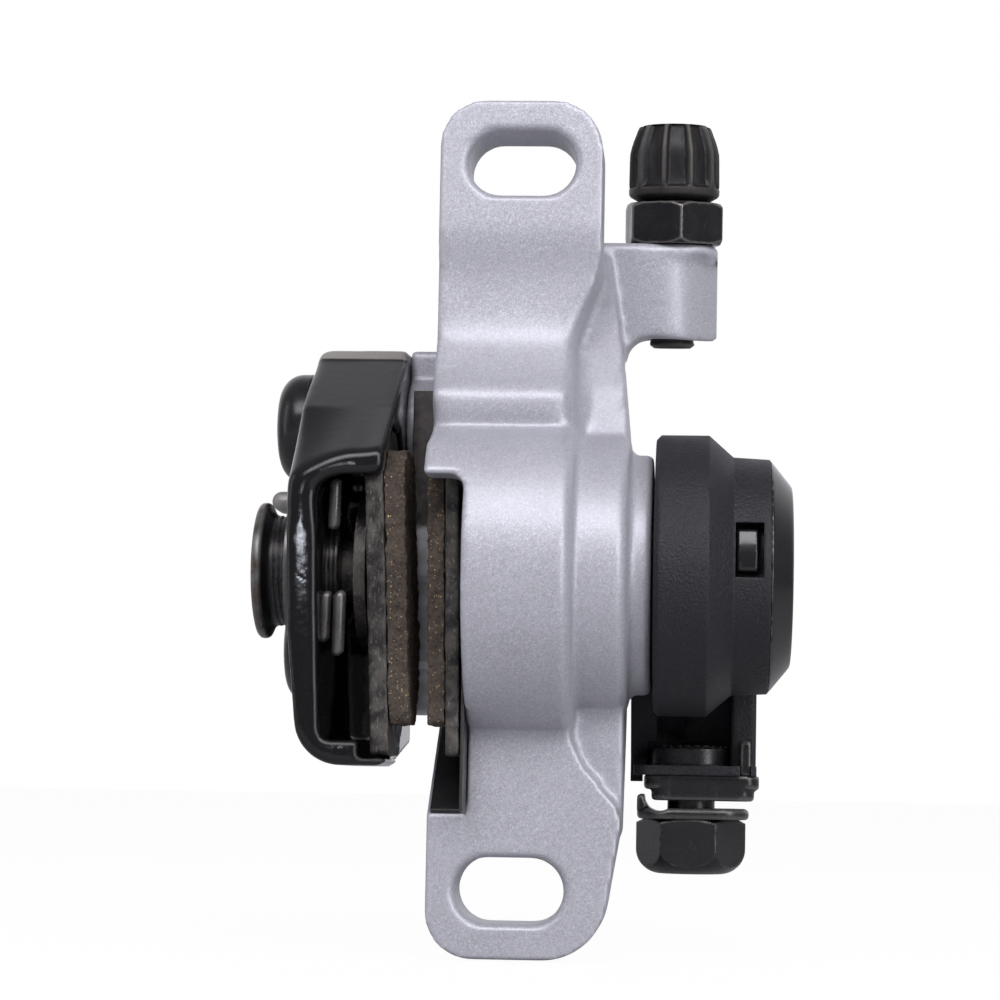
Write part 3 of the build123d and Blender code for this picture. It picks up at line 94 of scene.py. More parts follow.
class CaliperFinish(bpy.types.PropertyGroup):
    """Colours and grain sizes of the finishes."""
    silver: bpy.props.FloatVectorProperty(
        name="Silver paint", description="Colour of the cast housing's paint",
        subtype="COLOR", size=3, default=(0.4, 0.398, 0.441), min=0, max=1)
    arm: bpy.props.FloatVectorProperty(
        name="Arm black", description="Colour of the arm's powder coat",
        subtype="COLOR", size=3, default=(0.0085, 0.0075, 0.0112), min=0, max=1)
    enamel: bpy.props.FloatVectorProperty(
        name="Enamel black", description="Colour of the pad bracket's enamel",
        subtype="COLOR", size=3, default=(0.005, 0.0048, 0.0056), min=0, max=1)
    oxide: bpy.props.FloatVectorProperty(
        name="Black oxide", description="Colour of the blackened steel",
        subtype="COLOR", size=3, default=(0.011, 0.010, 0.0115), min=0, max=1)
    lining: bpy.props.FloatVectorProperty(
        name="Lining", description="Colour of the sintered friction material",
        subtype="COLOR", size=3, default=(0.052, 0.038, 0.029), min=0, max=1)
    flake: bpy.props.FloatProperty(
        name="Flake size", description="Size of a flake in the silver paint",
        subtype="DISTANCE", unit="LENGTH", default=0.00011, min=0.00005, max=0.001)
    powder: bpy.props.FloatProperty(
        name="Powder grain", description="Size of the powder coat's grain",
        subtype="DISTANCE", unit="LENGTH", default=0.00022, min=0.00005, max=0.001)


class CaliperStage(bpy.types.PropertyGroup):
    """Lamps, room light and camera."""
    top_power: bpy.props.FloatProperty(
        name="Top lamp", description="Power of the large lamp above the camera",
        subtype="POWER", unit="POWER", default=3.9, min=0)
    side_power: bpy.props.FloatProperty(
        name="Side lamps", description="Power of the left lamp, which the right one follows",
        subtype="POWER", unit="POWER", default=0.5, min=0)
    room: bpy.props.FloatProperty(
        name="Room light", description="Strength of the room's soft light",
        subtype="FACTOR", default=0.32, min=0, max=2)
    focal: bpy.props.FloatProperty(
        name="Focal length", description="Focal length of the camera in millimetres",
        default=90.71, min=10, max=300)


# Shader node helpers and groups

class Wiring:
    """Adds and joins shader nodes in one tree."""

    def __init__(self, tree):
        self.tree = tree
        self.column = 0

    def node(self, kind, **values):
        """New node to the right of the last one."""
        made = self.tree.nodes.new(kind)
        made.location = (self.column * 180, 0)
        self.column += 1
        for name, value in values.items():
            setattr(made, name, value)
        return made

    def join(self, a, b):
        """Link from socket a to socket b."""
        self.tree.links.new(a, b)

    def put(self, value, socket):
        """Joins a socket to a socket, or sets a value on it."""
        if isinstance(value, bpy.types.NodeSocket):
            self.join(value, socket)
        else:
            socket.default_value = value

    def math(self, operation, a, b=0.5, c=0.5):
        """Number worked out from up to three others."""
        made = self.node("ShaderNodeMath", operation=operation)
        for value, socket in zip((a, b, c), made.inputs):
            self.put(value, socket)
        return made.outputs[0]

    def vector(self, operation, a, b=(0, 0, 0), scale=None):
        """Vector worked out from up to two others, or their dot product."""
        made = self.node("ShaderNodeVectorMath", operation=operation)
        self.put(a, made.inputs[0])
        self.put(b, made.inputs[1])
        if scale is not None:
            self.put(scale, made.inputs["Scale"])
        return made.outputs["Value"] if operation == "DOT_PRODUCT" else made.outputs[0]

    def spread(self, value, low, high, to_low=0.0, to_high=1.0, smooth=True):
        """Maps low to high onto to_low to to_high and holds the ends."""
        made = self.node("ShaderNodeMapRange", interpolation_type="SMOOTHSTEP" if smooth else "LINEAR")
        self.put(value, made.inputs[0])
        for number, socket in zip((low, high, to_low, to_high), list(made.inputs)[1:5]):
            self.put(number, socket)
        return made.outputs[0]

    def blend(self, share, a, b):
        """Colour a at share 0, b at share 1."""
        made = self.node("ShaderNodeMix", data_type="RGBA", blend_type="MIX")
        self.put(share, made.inputs[0])
        self.put(a if isinstance(a, bpy.types.NodeSocket) else (*a[:3], 1), made.inputs[6])
        self.put(b if isinstance(b, bpy.types.NodeSocket) else (*b[:3], 1), made.inputs[7])
        return made.outputs[2]

    def noise(self, place, scale, detail=2.0, rough=0.5, stretch=None):
        """Noise node, drawn out along an axis where stretch is below 1."""
        if stretch:
            turn = self.node("ShaderNodeMapping")
            self.join(place, turn.inputs[0])
            turn.inputs["Scale"].default_value = stretch
            place = turn.outputs[0]
        made = self.node("ShaderNodeTexNoise")
        self.join(place, made.inputs["Vector"])
        self.put(scale, made.inputs["Scale"])
        made.inputs["Detail"].default_value = detail
        made.inputs["Roughness"].default_value = rough
        return made

    def along(self, place, axis):
        """One coordinate of a place."""
        split = self.node("ShaderNodeSeparateXYZ")
        self.join(place, split.inputs[0])
        return split.outputs[axis]

    def cells(self, place, scale):
        """Cell pattern: distance from each cell's middle and its random colour."""
        made = self.node("ShaderNodeTexVoronoi", feature="F1")
        self.join(place, made.inputs["Vector"])
        self.put(scale, made.inputs["Scale"])
        return made


def new_group(name, inputs, outputs):
    """Shader group with named sockets: its wiring, what it is given and its result."""
    group = bpy.data.node_groups.new(name, "ShaderNodeTree")
    for title, kind, value in inputs:
        socket = group.interface.new_socket(name=title, in_out="INPUT", socket_type=kind)
        if value is not None:
            socket.default_value = value
    for title, kind in outputs:
        group.interface.new_socket(name=title, in_out="OUTPUT", socket_type=kind)
    wiring = Wiring(group)
    return wiring, wiring.node("NodeGroupInput").outputs, wiring.node("NodeGroupOutput").inputs


def soft_edge_group():
    """Rounded normal near edges and a mask of the rims, which the finishes lighten as rubbed wear and as a
    painted edge highlight.
    """
    net, given, result = new_group(
        "soft_edges",
        [("Radius", "NodeSocketFloat", 0.0003), ("Vector", "NodeSocketVector", None),
         ("Break", "NodeSocketFloat", 0.5), ("Break Scale", "NodeSocketFloat", 1500.0)],
        [("Normal", "NodeSocketVector"), ("Rim", "NodeSocketFloat")])
    bevel = net.node("ShaderNodeBevel", samples=6)
    net.join(given["Radius"], bevel.inputs["Radius"])
    flat = net.node("ShaderNodeNewGeometry")
    same = net.vector("DOT_PRODUCT", bevel.outputs[0], flat.outputs["True Normal"])
    turned = net.math("SUBTRACT", 1.0, same)
    broken = net.noise(given["Vector"], given["Break Scale"], 3.0, 0.6)
    # rim mask: rubbed wear and a painted edge highlight
    worn_and_lit = net.math("MULTIPLY", net.spread(turned, 0.02, 0.16), net.spread(
        net.math("MULTIPLY", net.math("SUBTRACT", broken.outputs[0], 0.5), given["Break"]), -0.12, 0.1))
    net.join(bevel.outputs[0], result["Normal"])
    net.join(worn_and_lit, result["Rim"])


def flake_group():
    """Metal flakes: a random tone for each flake and a normal tipped by it."""
    net, given, result = new_group(
        "paint_flakes",
        [("Vector", "NodeSocketVector", None), ("Scale", "NodeSocketFloat", 6000.0),
         ("Tip", "NodeSocketFloat", 0.2), ("Normal", "NodeSocketVector", None)],
        [("Tone", "NodeSocketFloat"), ("Glint", "NodeSocketFloat"), ("Normal", "NodeSocketVector")])
    cells = net.cells(given["Vector"], given["Scale"])
    coarse = net.cells(given["Vector"], net.math("MULTIPLY", given["Scale"], 0.55))
    off = net.vector("SUBTRACT", cells.outputs["Color"], (0.5, 0.5, 0.5))
    tipped = net.vector("SCALE", off, scale=given["Tip"])
    normal = net.vector("NORMALIZE", net.vector("ADD", given["Normal"], tipped))
    split = net.node("ShaderNodeSeparateColor")
    net.join(cells.outputs["Color"], split.inputs[0])
    split_coarse = net.node("ShaderNodeSeparateColor")
    net.join(coarse.outputs["Color"], split_coarse.inputs[0])
    tone = net.math("MULTIPLY_ADD", split.outputs[0], 0.5, net.math("MULTIPLY", split_coarse.outputs[1], 0.5))
    net.join(tone, result["Tone"])
    net.join(net.spread(split.outputs[2], 0.86, 0.98), result["Glint"])
    net.join(normal, result["Normal"])


def grain_group():
    """Fine moulded or powder-coated grain with broader unevenness."""
    net, given, result = new_group(
        "fine_grain",
        [("Vector", "NodeSocketVector", None), ("Scale", "NodeSocketFloat", 4500.0),
         ("Broad Scale", "NodeSocketFloat", 300.0)],
        [("Height", "NodeSocketFloat"), ("Value", "NodeSocketFloat"), ("Broad", "NodeSocketFloat")])
    fine = net.noise(given["Vector"], given["Scale"], 2.5, 0.65)
    pits = net.cells(given["Vector"], net.math("MULTIPLY", given["Scale"], 0.8))
    broad = net.noise(given["Vector"], given["Broad Scale"], 3.0, 0.55)
    height = net.math("MULTIPLY_ADD", pits.outputs["Distance"], 0.35, fine.outputs[0])
    net.join(height, result["Height"])
    net.join(fine.outputs[0], result["Value"])
    net.join(broad.outputs[0], result["Broad"])


# what nearly all of a noise lies between
NOISE_RANGE = (0.3, 0.7)

# where a finish changes on its piece, in millimetres: no share at the first, all at the second
# band along the bracket's top that gets a painted highlight
HIGHLIGHT_CROWN_Z = (18.55, 18.85)
KNOB_FLANGE_X = (-24.6, -25.0)
BRASS_X = (-10.8, -12.5)
# where the leaf's painted shade gives way to bare steel
BARE_LEAF_Z = (2.2, 1.0)

# what shows where a finish is rubbed or thin, and painted light: the rim colours also paint an edge
# highlight, the enamel crown paints a highlight along the bracket's top, and the leaf's dark tone paints the
# shade between the pads
SILVER_GLINT = (0.7, 0.7, 0.78)
SILVER_RIM = (0.66, 0.67, 0.75)
ENAMEL_SPECK = (0.05, 0.046, 0.045)
ENAMEL_RIM = (0.05, 0.045, 0.043)
ENAMEL_CROWN_HIGHLIGHT = (0.3, 0.28, 0.265)
POWDER_RIM = (0.075, 0.076, 0.082)
OXIDE_SCUFF = (0.09, 0.085, 0.08)
OXIDE_RIM = (0.3, 0.285, 0.27)
BARREL_RIM = (0.21, 0.19, 0.175)
KNOB_BROWN = (0.24, 0.2, 0.17)
KNOB_BRIGHT = (0.42, 0.41, 0.4)
PLATE_DARK = (0.018, 0.016, 0.016)
PLATE_BROWN = (0.075, 0.068, 0.062)
PLATE_DRAG = (0.15, 0.138, 0.128)
PLATE_RIM = (0.3, 0.28, 0.26)
LINING_PORE = (0.02, 0.016, 0.013)
BRASS = (0.62, 0.45, 0.2)
LEAF_PAINTED_SHADE = ((0.024, 0.018, 0.018), (0.055, 0.043, 0.041))
LEAF_BARE = ((0.5, 0.5, 0.51), (0.68, 0.68, 0.69))


class Finish(Wiring):
    """One material being built around its Principled shader."""

    def __init__(self, name, metallic=0.0, rough=0.5, ior=1.5):
        self.material = bpy.data.materials.new(name)
        self.material.use_nodes = True
        super().__init__(self.material.node_tree)
        self.shader = self.tree.nodes["Principled BSDF"]
        self.shader.inputs["Metallic"].default_value = metallic
        self.shader.inputs["Roughness"].default_value = rough
        self.shader.inputs["IOR"].default_value = ior
        self.place = self.node("ShaderNodeTexCoord").outputs["Object"]

    def group(self, name, **values):
        """Places a shader group on this material with its own values."""
        made = self.node("ShaderNodeGroup")
        made.node_tree = bpy.data.node_groups[name]
        self.join(self.place, made.inputs["Vector"])
        for title, value in values.items():
            self.put(value, made.inputs[title.replace("_", " ")])
        return made.outputs

    def wear_and_highlight(self):
        """Share of rim that the piece's shape gives, lightened as rubbed wear and as a painted edge
        highlight.
        """
        made = self.node("ShaderNodeAttribute", attribute_name="wear_and_highlight")
        return made.outputs["Fac"]

    def bump(self, height, strength, distance, normal=None):
        """Normal raised by a height, over another normal where one is given."""
        made = self.node("ShaderNodeBump")
        made.inputs["Strength"].default_value = strength
        made.inputs["Distance"].default_value = distance
        self.join(height, made.inputs["Height"])
        if normal is not None:
            self.join(normal, made.inputs["Normal"])
        return made.outputs[0]

    def set(self, **values):
        """Joins or sets the shader's sockets by their names."""
        for title, value in values.items():
            self.put(value, self.shader.inputs[title.replace("_", " ")])


def cast_silver(look):
    """Silver paint with fine flakes over a sand-cast skin."""
    coat = Finish("cast_silver", metallic=0.35, rough=0.46)
    soft = coat.group("soft_edges", Radius=0.0002, Break=0.4, Break_Scale=900.0)
    grain = coat.group("fine_grain", Scale=5600.0, Broad_Scale=160.0)
    skin = coat.bump(grain["Height"], 0.09, 0.00004, soft["Normal"])
    flakes = coat.group("paint_flakes", Scale=1 / look.flake, Tip=0.09, Normal=skin)
    tone = coat.spread(flakes["Tone"], 0.1, 0.9, 0.87, 1.13, smooth=False)
    cloud = coat.spread(grain["Broad"], *NOISE_RANGE, 0.97, 1.03, smooth=False)
    shade = coat.math("MULTIPLY", tone, cloud)
    paint = coat.vector("SCALE", (*look.silver,), scale=shade)
    colour = coat.blend(coat.math("MULTIPLY", flakes["Glint"], 0.3), paint, SILVER_GLINT)
    # rims lightened as rubbed wear and as a painted edge highlight
    rim = coat.math("MAXIMUM", soft["Rim"], coat.wear_and_highlight())
    colour = coat.blend(coat.math("MULTIPLY", rim, 0.3), colour, SILVER_RIM)
    coat.set(Base_Color=colour, Normal=flakes["Normal"])
    coat.set(Roughness=coat.spread(flakes["Tone"], 0.0, 1.0, 0.41, 0.52, smooth=False))
    return coat.material


def black_enamel(look):
    """Thick gloss enamel that pulls thin at the edges, with a painted edge highlight there and a painted
    highlight along the bracket's top.
    """
    coat = Finish("black_enamel", rough=0.08, ior=1.43)
    soft = coat.group("soft_edges", Radius=0.0006, Break=0.9, Break_Scale=700.0)
    # crown: a painted highlight, grey and rougher, along the top of the bracket
    height = coat.math("MULTIPLY_ADD", coat.wear_and_highlight(), 0.4 * MM, coat.along(coat.place, "Z"))
    crown = coat.spread(height, HIGHLIGHT_CROWN_Z[0] * MM, HIGHLIGHT_CROWN_Z[1] * MM)
    peel = coat.noise(coat.place, 900.0, 2.0, 0.5)
    dust = coat.noise(coat.place, 5200.0, 2.0, 0.6)
    normal = coat.bump(peel.outputs[0], 0.12, 0.0001, soft["Normal"])
    specks = coat.spread(dust.outputs[0], 0.66, 0.74)
    colour = coat.blend(coat.math("MULTIPLY", specks, 0.5), look.enamel, ENAMEL_SPECK)
    # rims lightened as thin enamel and as a painted edge highlight
    colour = coat.blend(coat.math("MULTIPLY", soft["Rim"], 0.4), colour, ENAMEL_RIM)
    colour = coat.blend(coat.math("MULTIPLY", crown, 0.85), colour, ENAMEL_CROWN_HIGHLIGHT)
    coat.set(Base_Color=colour, Normal=normal)
    gloss = coat.spread(peel.outputs[0], *NOISE_RANGE, 0.05, 0.1)
    coat.set(Roughness=coat.math("MULTIPLY_ADD", crown, 0.3, gloss))
    return coat.material


def powder_black(look):
    """Matte black powder coat with a sandy grain."""
    coat = Finish("arm_black", rough=0.5, ior=1.42)
    soft = coat.group("soft_edges", Radius=0.0004, Break=0.8, Break_Scale=1100.0)
    grain = coat.group("fine_grain", Scale=1 / look.powder, Broad_Scale=220.0)
    normal = coat.bump(grain["Height"], 0.95, 0.00011, soft["Normal"])
    tone = coat.spread(grain["Value"], *NOISE_RANGE, 0.5, 1.7, smooth=False)
    colour = coat.vector("SCALE", (*look.arm,), scale=tone)
    # rims lightened as rubbed wear and as a painted edge highlight
    colour = coat.blend(coat.math("MULTIPLY", soft["Rim"], 0.35), colour, POWDER_RIM)
    coat.set(Base_Color=colour, Normal=normal)
    coat.set(Roughness=coat.spread(grain["Broad"], *NOISE_RANGE, 0.44, 0.54))
    return coat.material


def black_oxide(look):
    """Blackened steel, satin, with edges rubbed bright and a painted edge highlight."""
    coat = Finish("black_oxide", metallic=0.3, rough=0.26)
    soft = coat.group("soft_edges", Radius=0.00035, Break=1.0, Break_Scale=1600.0)
    # rim: rubbed wear and a painted edge highlight
    rim = coat.math("MAXIMUM", soft["Rim"], coat.math("MULTIPLY", coat.wear_and_highlight(), 0.6))
    grain = coat.group("fine_grain", Scale=5200.0, Broad_Scale=420.0)
    normal = coat.bump(grain["Height"], 0.16, 0.00004, soft["Normal"])
    scuffs = coat.noise(coat.place, 900.0, 4.0, 0.7, stretch=(1, 1, 0.25))
    rubbed = coat.math("MULTIPLY", coat.spread(scuffs.outputs[0], 0.6, 0.72), 0.25)
    tone = coat.spread(grain["Value"], *NOISE_RANGE, 0.8, 1.3, smooth=False)
    colour = coat.vector("SCALE", (*look.oxide,), scale=tone)
    colour = coat.blend(rubbed, colour, OXIDE_SCUFF)
    colour = coat.blend(coat.math("MULTIPLY", rim, 0.75), colour, OXIDE_RIM)
    coat.set(Base_Color=colour, Normal=normal)
    coat.set(Roughness=coat.spread(grain["Broad"], *NOISE_RANGE, 0.2, 0.33))
    coat.set(Metallic=coat.math("MULTIPLY_ADD", rim, 0.5, 0.25))
    return coat.material


def barrel_black(look):
    """Black anodised aluminium with rib edges lightened as wear and as a painted highlight."""
    coat = Finish("barrel_black", metallic=0.05, rough=0.36, ior=1.32)
    soft = coat.group("soft_edges", Radius=0.0003, Break=0.9, Break_Scale=1500.0)
    grain = coat.group("fine_grain", Scale=4200.0, Broad_Scale=500.0)
    streak = coat.noise(coat.place, 1500.0, 3.0, 0.6, stretch=(1, 1, 0.12))
    normal = coat.bump(coat.math("ADD", grain["Height"], streak.outputs[0]), 0.14, 0.00004, soft["Normal"])
    tone = coat.spread(streak.outputs[0], *NOISE_RANGE, 0.75, 1.35)
    colour = coat.vector("SCALE", (*look.oxide,), scale=tone)
    # rib rims: rubbed wear and a painted edge highlight
    rim = coat.math("MAXIMUM", soft["Rim"], coat.wear_and_highlight())
    colour = coat.blend(coat.math("MULTIPLY", rim, 0.34), colour, BARREL_RIM)
    coat.set(Base_Color=colour, Normal=normal)
    coat.set(Roughness=coat.spread(grain["Broad"], *NOISE_RANGE, 0.34, 0.48))
    return coat.material


def knob_steel(look):
    """Blackened knob whose rim is rubbed brown and bright and carries a painted edge highlight."""
    coat = Finish("knob_steel", metallic=0.55, rough=0.3)
    soft = coat.group("soft_edges", Radius=0.00045, Break=1.1, Break_Scale=1300.0)
    grain = coat.group("fine_grain", Scale=4800.0, Broad_Scale=380.0)
    normal = coat.bump(grain["Height"], 0.15, 0.00004, soft["Normal"])
    colour = coat.vector("SCALE", (*look.oxide,), scale=coat.spread(grain["Value"], *NOISE_RANGE, 0.8, 1.4))
    brown = coat.blend(coat.spread(grain["Broad"], 0.4, 0.62), KNOB_BROWN, KNOB_BRIGHT)
    flange = coat.spread(coat.along(coat.place, "X"), KNOB_FLANGE_X[0] * MM, KNOB_FLANGE_X[1] * MM, 0.15, 1.0)
    # flange rim: rubbed wear and a painted edge highlight
    worn_and_lit = coat.math("MULTIPLY", coat.math("MAXIMUM", soft["Rim"], coat.wear_and_highlight()), flange)
    colour = coat.blend(coat.math("MULTIPLY", worn_and_lit, 0.8), colour, brown)
    coat.set(Base_Color=colour, Normal=normal)
    coat.set(Roughness=coat.spread(grain["Broad"], *NOISE_RANGE, 0.24, 0.38))
    return coat.material


def pad_steel():
    """Sheared steel backing plate, dark and brown, with drag marks."""
    coat = Finish("pad_steel", metallic=0.45, rough=0.5)
    soft = coat.group("soft_edges", Radius=0.00025, Break=1.0, Break_Scale=1800.0)
    drag = coat.noise(coat.place, 3600.0, 4.0, 0.7, stretch=(1.0, 1.0, 0.4))
    blotch = coat.noise(coat.place, 520.0, 4.0, 0.65)
    normal = coat.bump(drag.outputs[0], 0.55, 0.00012, soft["Normal"])
    colour = coat.blend(coat.spread(blotch.outputs[0], 0.35, 0.65), PLATE_DARK, PLATE_BROWN)
    colour = coat.blend(coat.spread(drag.outputs[0], 0.54, 0.7), colour, PLATE_DRAG)
    # rims lightened as sheared wear and as a painted edge highlight
    colour = coat.blend(coat.math("MULTIPLY", soft["Rim"], 0.6), colour, PLATE_RIM)
    coat.set(Base_Color=colour, Normal=normal)
    coat.set(Roughness=coat.spread(blotch.outputs[0], *NOISE_RANGE, 0.36, 0.6))
    return coat.material


def friction(look):
    """Sintered lining with pores and brass flecks."""
    coat = Finish("friction", metallic=0.0, rough=0.82)
    grain = coat.group("fine_grain", Scale=3200.0, Broad_Scale=420.0)
    crumbs = coat.cells(coat.place, 2300.0)
    flecks = coat.cells(coat.place, 4600.0)
    split = coat.node("ShaderNodeSeparateColor")
    coat.join(flecks.outputs["Color"], split.inputs[0])
    small = coat.spread(flecks.outputs["Distance"], 0.42, 0.3)
    strewn = coat.spread(coat.along(coat.place, "X"), BRASS_X[0] * MM, BRASS_X[1] * MM, 0.45, 1.0)
    chosen = coat.spread(split.outputs[0], 0.84, 0.92)
    brass = coat.math("MULTIPLY", coat.math("MULTIPLY", chosen, small), strewn)
    pores = coat.spread(coat.noise(coat.place, 1500.0, 3.0, 0.6).outputs[0], 0.42, 0.3)
    shade = coat.spread(grain["Broad"], *NOISE_RANGE, 0.7, 1.3, smooth=False)
    crumb = coat.spread(grain["Value"], *NOISE_RANGE, 0.6, 1.45, smooth=False)
    colour = coat.vector("SCALE", (*look.lining,), scale=coat.math("MULTIPLY", shade, crumb))
    colour = coat.blend(coat.math("MULTIPLY", pores, 0.75), colour, LINING_PORE)
    colour = coat.blend(brass, colour, BRASS)
    height = coat.math("MULTIPLY_ADD", crumbs.outputs["Distance"], -0.5, grain["Height"])
    coat.set(Base_Color=colour, Normal=coat.bump(height, 0.7, 0.00012))
    coat.set(Metallic=brass, Roughness=coat.math("MULTIPLY_ADD", brass, -0.45, 0.82))
    return coat.material


def plain_metal(name, colour, metallic, rough, grain_scale, edge, share):
    """Plain turned, pressed or moulded surface with fine grain and rubbed edges that also carry a painted
    highlight.
    """
    coat = Finish(name, metallic=metallic, rough=rough)
    soft = coat.group("soft_edges", Radius=0.00025, Break=0.9, Break_Scale=1500.0)
    grain = coat.group("fine_grain", Scale=grain_scale, Broad_Scale=350.0)
    tone = coat.spread(grain["Broad"], *NOISE_RANGE, 0.85, 1.15, smooth=False)
    paint = coat.vector("SCALE", colour, scale=tone)
    # edge colour: rubbed wear and a painted edge highlight
    coat.set(Base_Color=coat.blend(coat.math("MULTIPLY", soft["Rim"], share), paint, edge))
    coat.set(Normal=coat.bump(grain["Height"], 0.14, 0.00003, soft["Normal"]))
    coat.set(Roughness=coat.spread(grain["Broad"], *NOISE_RANGE, rough * 0.85, rough * 1.2))
    return coat.material


def leaf_steel():
    """Pad spring: brown-black painted shade where it lies between the pads' upper halves, bare steel below.
    """
    coat = Finish("leaf_steel", metallic=0.3, rough=0.5, ior=1.4)
    soft = coat.group("soft_edges", Radius=0.00015, Break=0.8, Break_Scale=1500.0)
    grain = coat.group("fine_grain", Scale=4000.0, Broad_Scale=600.0)
    height = coat.math("MULTIPLY_ADD", grain["Broad"], 1.6 * MM, coat.along(coat.place, "Z"))
    bare = coat.spread(height, BARE_LEAF_Z[0] * MM, BARE_LEAF_Z[1] * MM)
    # the brown-black is painted shade between the pads
    shaded_top = coat.blend(coat.spread(grain["Broad"], 0.4, 0.6), *LEAF_PAINTED_SHADE)
    steel = coat.blend(coat.spread(grain["Broad"], *NOISE_RANGE), *LEAF_BARE)
    colour = coat.blend(bare, shaded_top, steel)
    coat.set(Base_Color=colour, Normal=coat.bump(grain["Height"], 0.2, 0.00004, soft["Normal"]))
    coat.set(Roughness=coat.spread(bare, 0.0, 1.0, 0.55, 0.38), Metallic=coat.math("MULTIPLY", bare, 0.5))
    return coat.material


# colour, metallic, roughness, grain scale, rubbed edge with its painted highlight, and its share
PLAIN_METALS = {
    "cap_plastic": ((0.006, 0.006, 0.007), 0.0, 0.16, 3000.0, (0.3, 0.3, 0.3), 0.6),
    "pin_steel": ((0.3, 0.29, 0.28), 0.6, 0.5, 3000.0, (0.6, 0.6, 0.6), 0.4),
    "bright_steel": ((0.5, 0.49, 0.47), 0.95, 0.3, 4200.0, (0.6, 0.6, 0.6), 0.4),
    "dark_spring": ((0.1, 0.1, 0.105), 0.8, 0.3, 4000.0, (0.35, 0.35, 0.35), 0.5),
    # pocket liner's dark colour paints the shade under the pads and bracket
    "shade_liner": ((0.034, 0.032, 0.034), 0.5, 0.35, 4000.0, (0.12, 0.12, 0.12), 0.5),
    "bearing_bronze": ((0.45, 0.3, 0.13), 0.9, 0.35, 4000.0, (0.7, 0.5, 0.25), 0.4),
    "seal_rubber": ((0.02, 0.02, 0.02), 0.0, 0.7, 3500.0, (0.05, 0.05, 0.05), 0.3),
}


class OBJECT_OT_caliper_finishes(bpy.types.Operator):
    """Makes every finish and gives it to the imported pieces"""
    bl_idname = "caliper.finishes"
    bl_label = "Finishes"

    def execute(self, context):
        look = context.scene.caliper_finish
        soft_edge_group()
        flake_group()
        grain_group()
        made = {
            "cast_silver": cast_silver(look),
            "black_enamel": black_enamel(look),
            "arm_black": powder_black(look),
            "black_oxide": black_oxide(look),
            "barrel_black": barrel_black(look),
            "knob_steel": knob_steel(look),
            "pad_steel": pad_steel(),
            "friction": friction(look),
            "leaf_steel": leaf_steel(),
        }
        for name, values in PLAIN_METALS.items():
            made[name] = plain_metal(name, *values)
        for finish, nodes in NODE_FINISH.items():
            for node in nodes:
                dress(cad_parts[node], made[finish])
        return {"FINISHED"}


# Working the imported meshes

X, Y, Z = 0, 1, 2
SMOOTHING = 0.5

# how near points merge, in millimetres, and the bulge where an edge starts to be rubbed and is rubbed bare,
# which also paints an edge highlight
MERGE_DISTANCE = 0.002
WEAR_AND_HIGHLIGHT = (0.4, 1.6)
LEAST_STEP_SQUARED = 1e-14

# voxel in millimetres and rounds of smoothing of each remoulded node
MOULDS = {
    "caliper_body": (0.4, 1),
    "pad_bracket": (0.26, 6),
    "fixed_pad_lining": (0.17, 2),
    "moving_pad_lining": (0.17, 2),
    "fixed_pad_plate": (0.2, 3),
    "moving_pad_plate": (0.2, 3),
    "clamp_platform": (0.13, 7),
    "clamp_plate": (0.13, 7),
    "arm_cap": (0.17, 14),
    "jam_nut": (0.12, 0),
}

# rounds of smoothing of each area, and its sides: axis, no share at, full share at, in millimetres
AREAS = {
    "relief": (90, ((Z, 5, 8), (Z, 33, 28), (X, -7.2, -5.4), (Y, 5.0, 3.0), (X, 8.0, 6.5))),
    "edge": (30, ((Z, 7, 8), (Z, 15, 13.5), (X, -4.4, -5.4), (Y, 5.0, 3.0))),
    "lug": (16, ((X, 12.5, 14.5), (Z, 17, 18), (Y, 19, 17))),
    "block": (30, ((Z, 2.0, 4.0), (Y, 17, 14))),
    "shoulder": (70, ((X, -15, -19), (Y, 4, -1), (Z, -2, 2), (Z, 13, 9))),
    "crown": (40, ((X, -16.5, -18.5), (Z, 15, 17), (Y, 15, 12))),
}


def ramp(value, low, high):
    """0 at low, 1 at high, even between, also where low lies above high."""
    return min(1.0, max(0.0, (value - low) / (high - low)))


def inside(co, sides):
    """Share of a point in an area given by its sides."""
    return min(ramp(co[axis], none * MM, full * MM) for axis, none, full in sides)


def dress(piece, material):
    """Gives a piece one material."""
    piece.data.materials.clear()
    piece.data.materials.append(material)


def note_wear_and_highlight(piece):
    """Keeps how sharply each point bulges, for the finishes' rubbed edges and painted edge highlights."""
    mesh = piece.data
    bulge = [0.0] * len(mesh.vertices)
    near = [0] * len(mesh.vertices)
    for edge in mesh.edges:
        a, b = (mesh.vertices[k] for k in edge.vertices)
        step = a.co - b.co
        bend = (a.normal - b.normal).dot(step) / max(step.length_squared, LEAST_STEP_SQUARED) * MM
        for k in edge.vertices:
            bulge[k] += bend
            near[k] += 1
    wear_and_highlight = mesh.attributes.new("wear_and_highlight", "FLOAT", "POINT")
    for k in range(len(mesh.vertices)):
        wear_and_highlight.data[k].value = ramp(bulge[k] / max(near[k], 1), *WEAR_AND_HIGHLIGHT)


def take_only(piece):
    """Selects one piece and makes it active."""
    bpy.ops.object.select_all(action="DESELECT")
    piece.select_set(True)
    bpy.context.view_layer.objects.active = piece


def copy_node(node, name):
    """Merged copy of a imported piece, to be worked on."""
    piece = bpy.data.objects.new(name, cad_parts[node].data.copy())
    bpy.context.scene.collection.objects.link(piece)
    take_only(piece)
    bpy.ops.object.mode_set(mode="EDIT")
    bpy.ops.mesh.select_all(action="SELECT")
    bpy.ops.mesh.remove_doubles(threshold=MERGE_DISTANCE * MM)
    bpy.ops.object.mode_set(mode="OBJECT")
    return piece


def apply_modifier(piece, kind, **values):
    """Adds one modifier with its settings and applies it."""
    take_only(piece)
    modifier = piece.modifiers.new(kind.lower(), kind)
    for name, value in values.items():
        setattr(modifier, name, value)
    bpy.ops.object.modifier_apply(modifier=modifier.name)


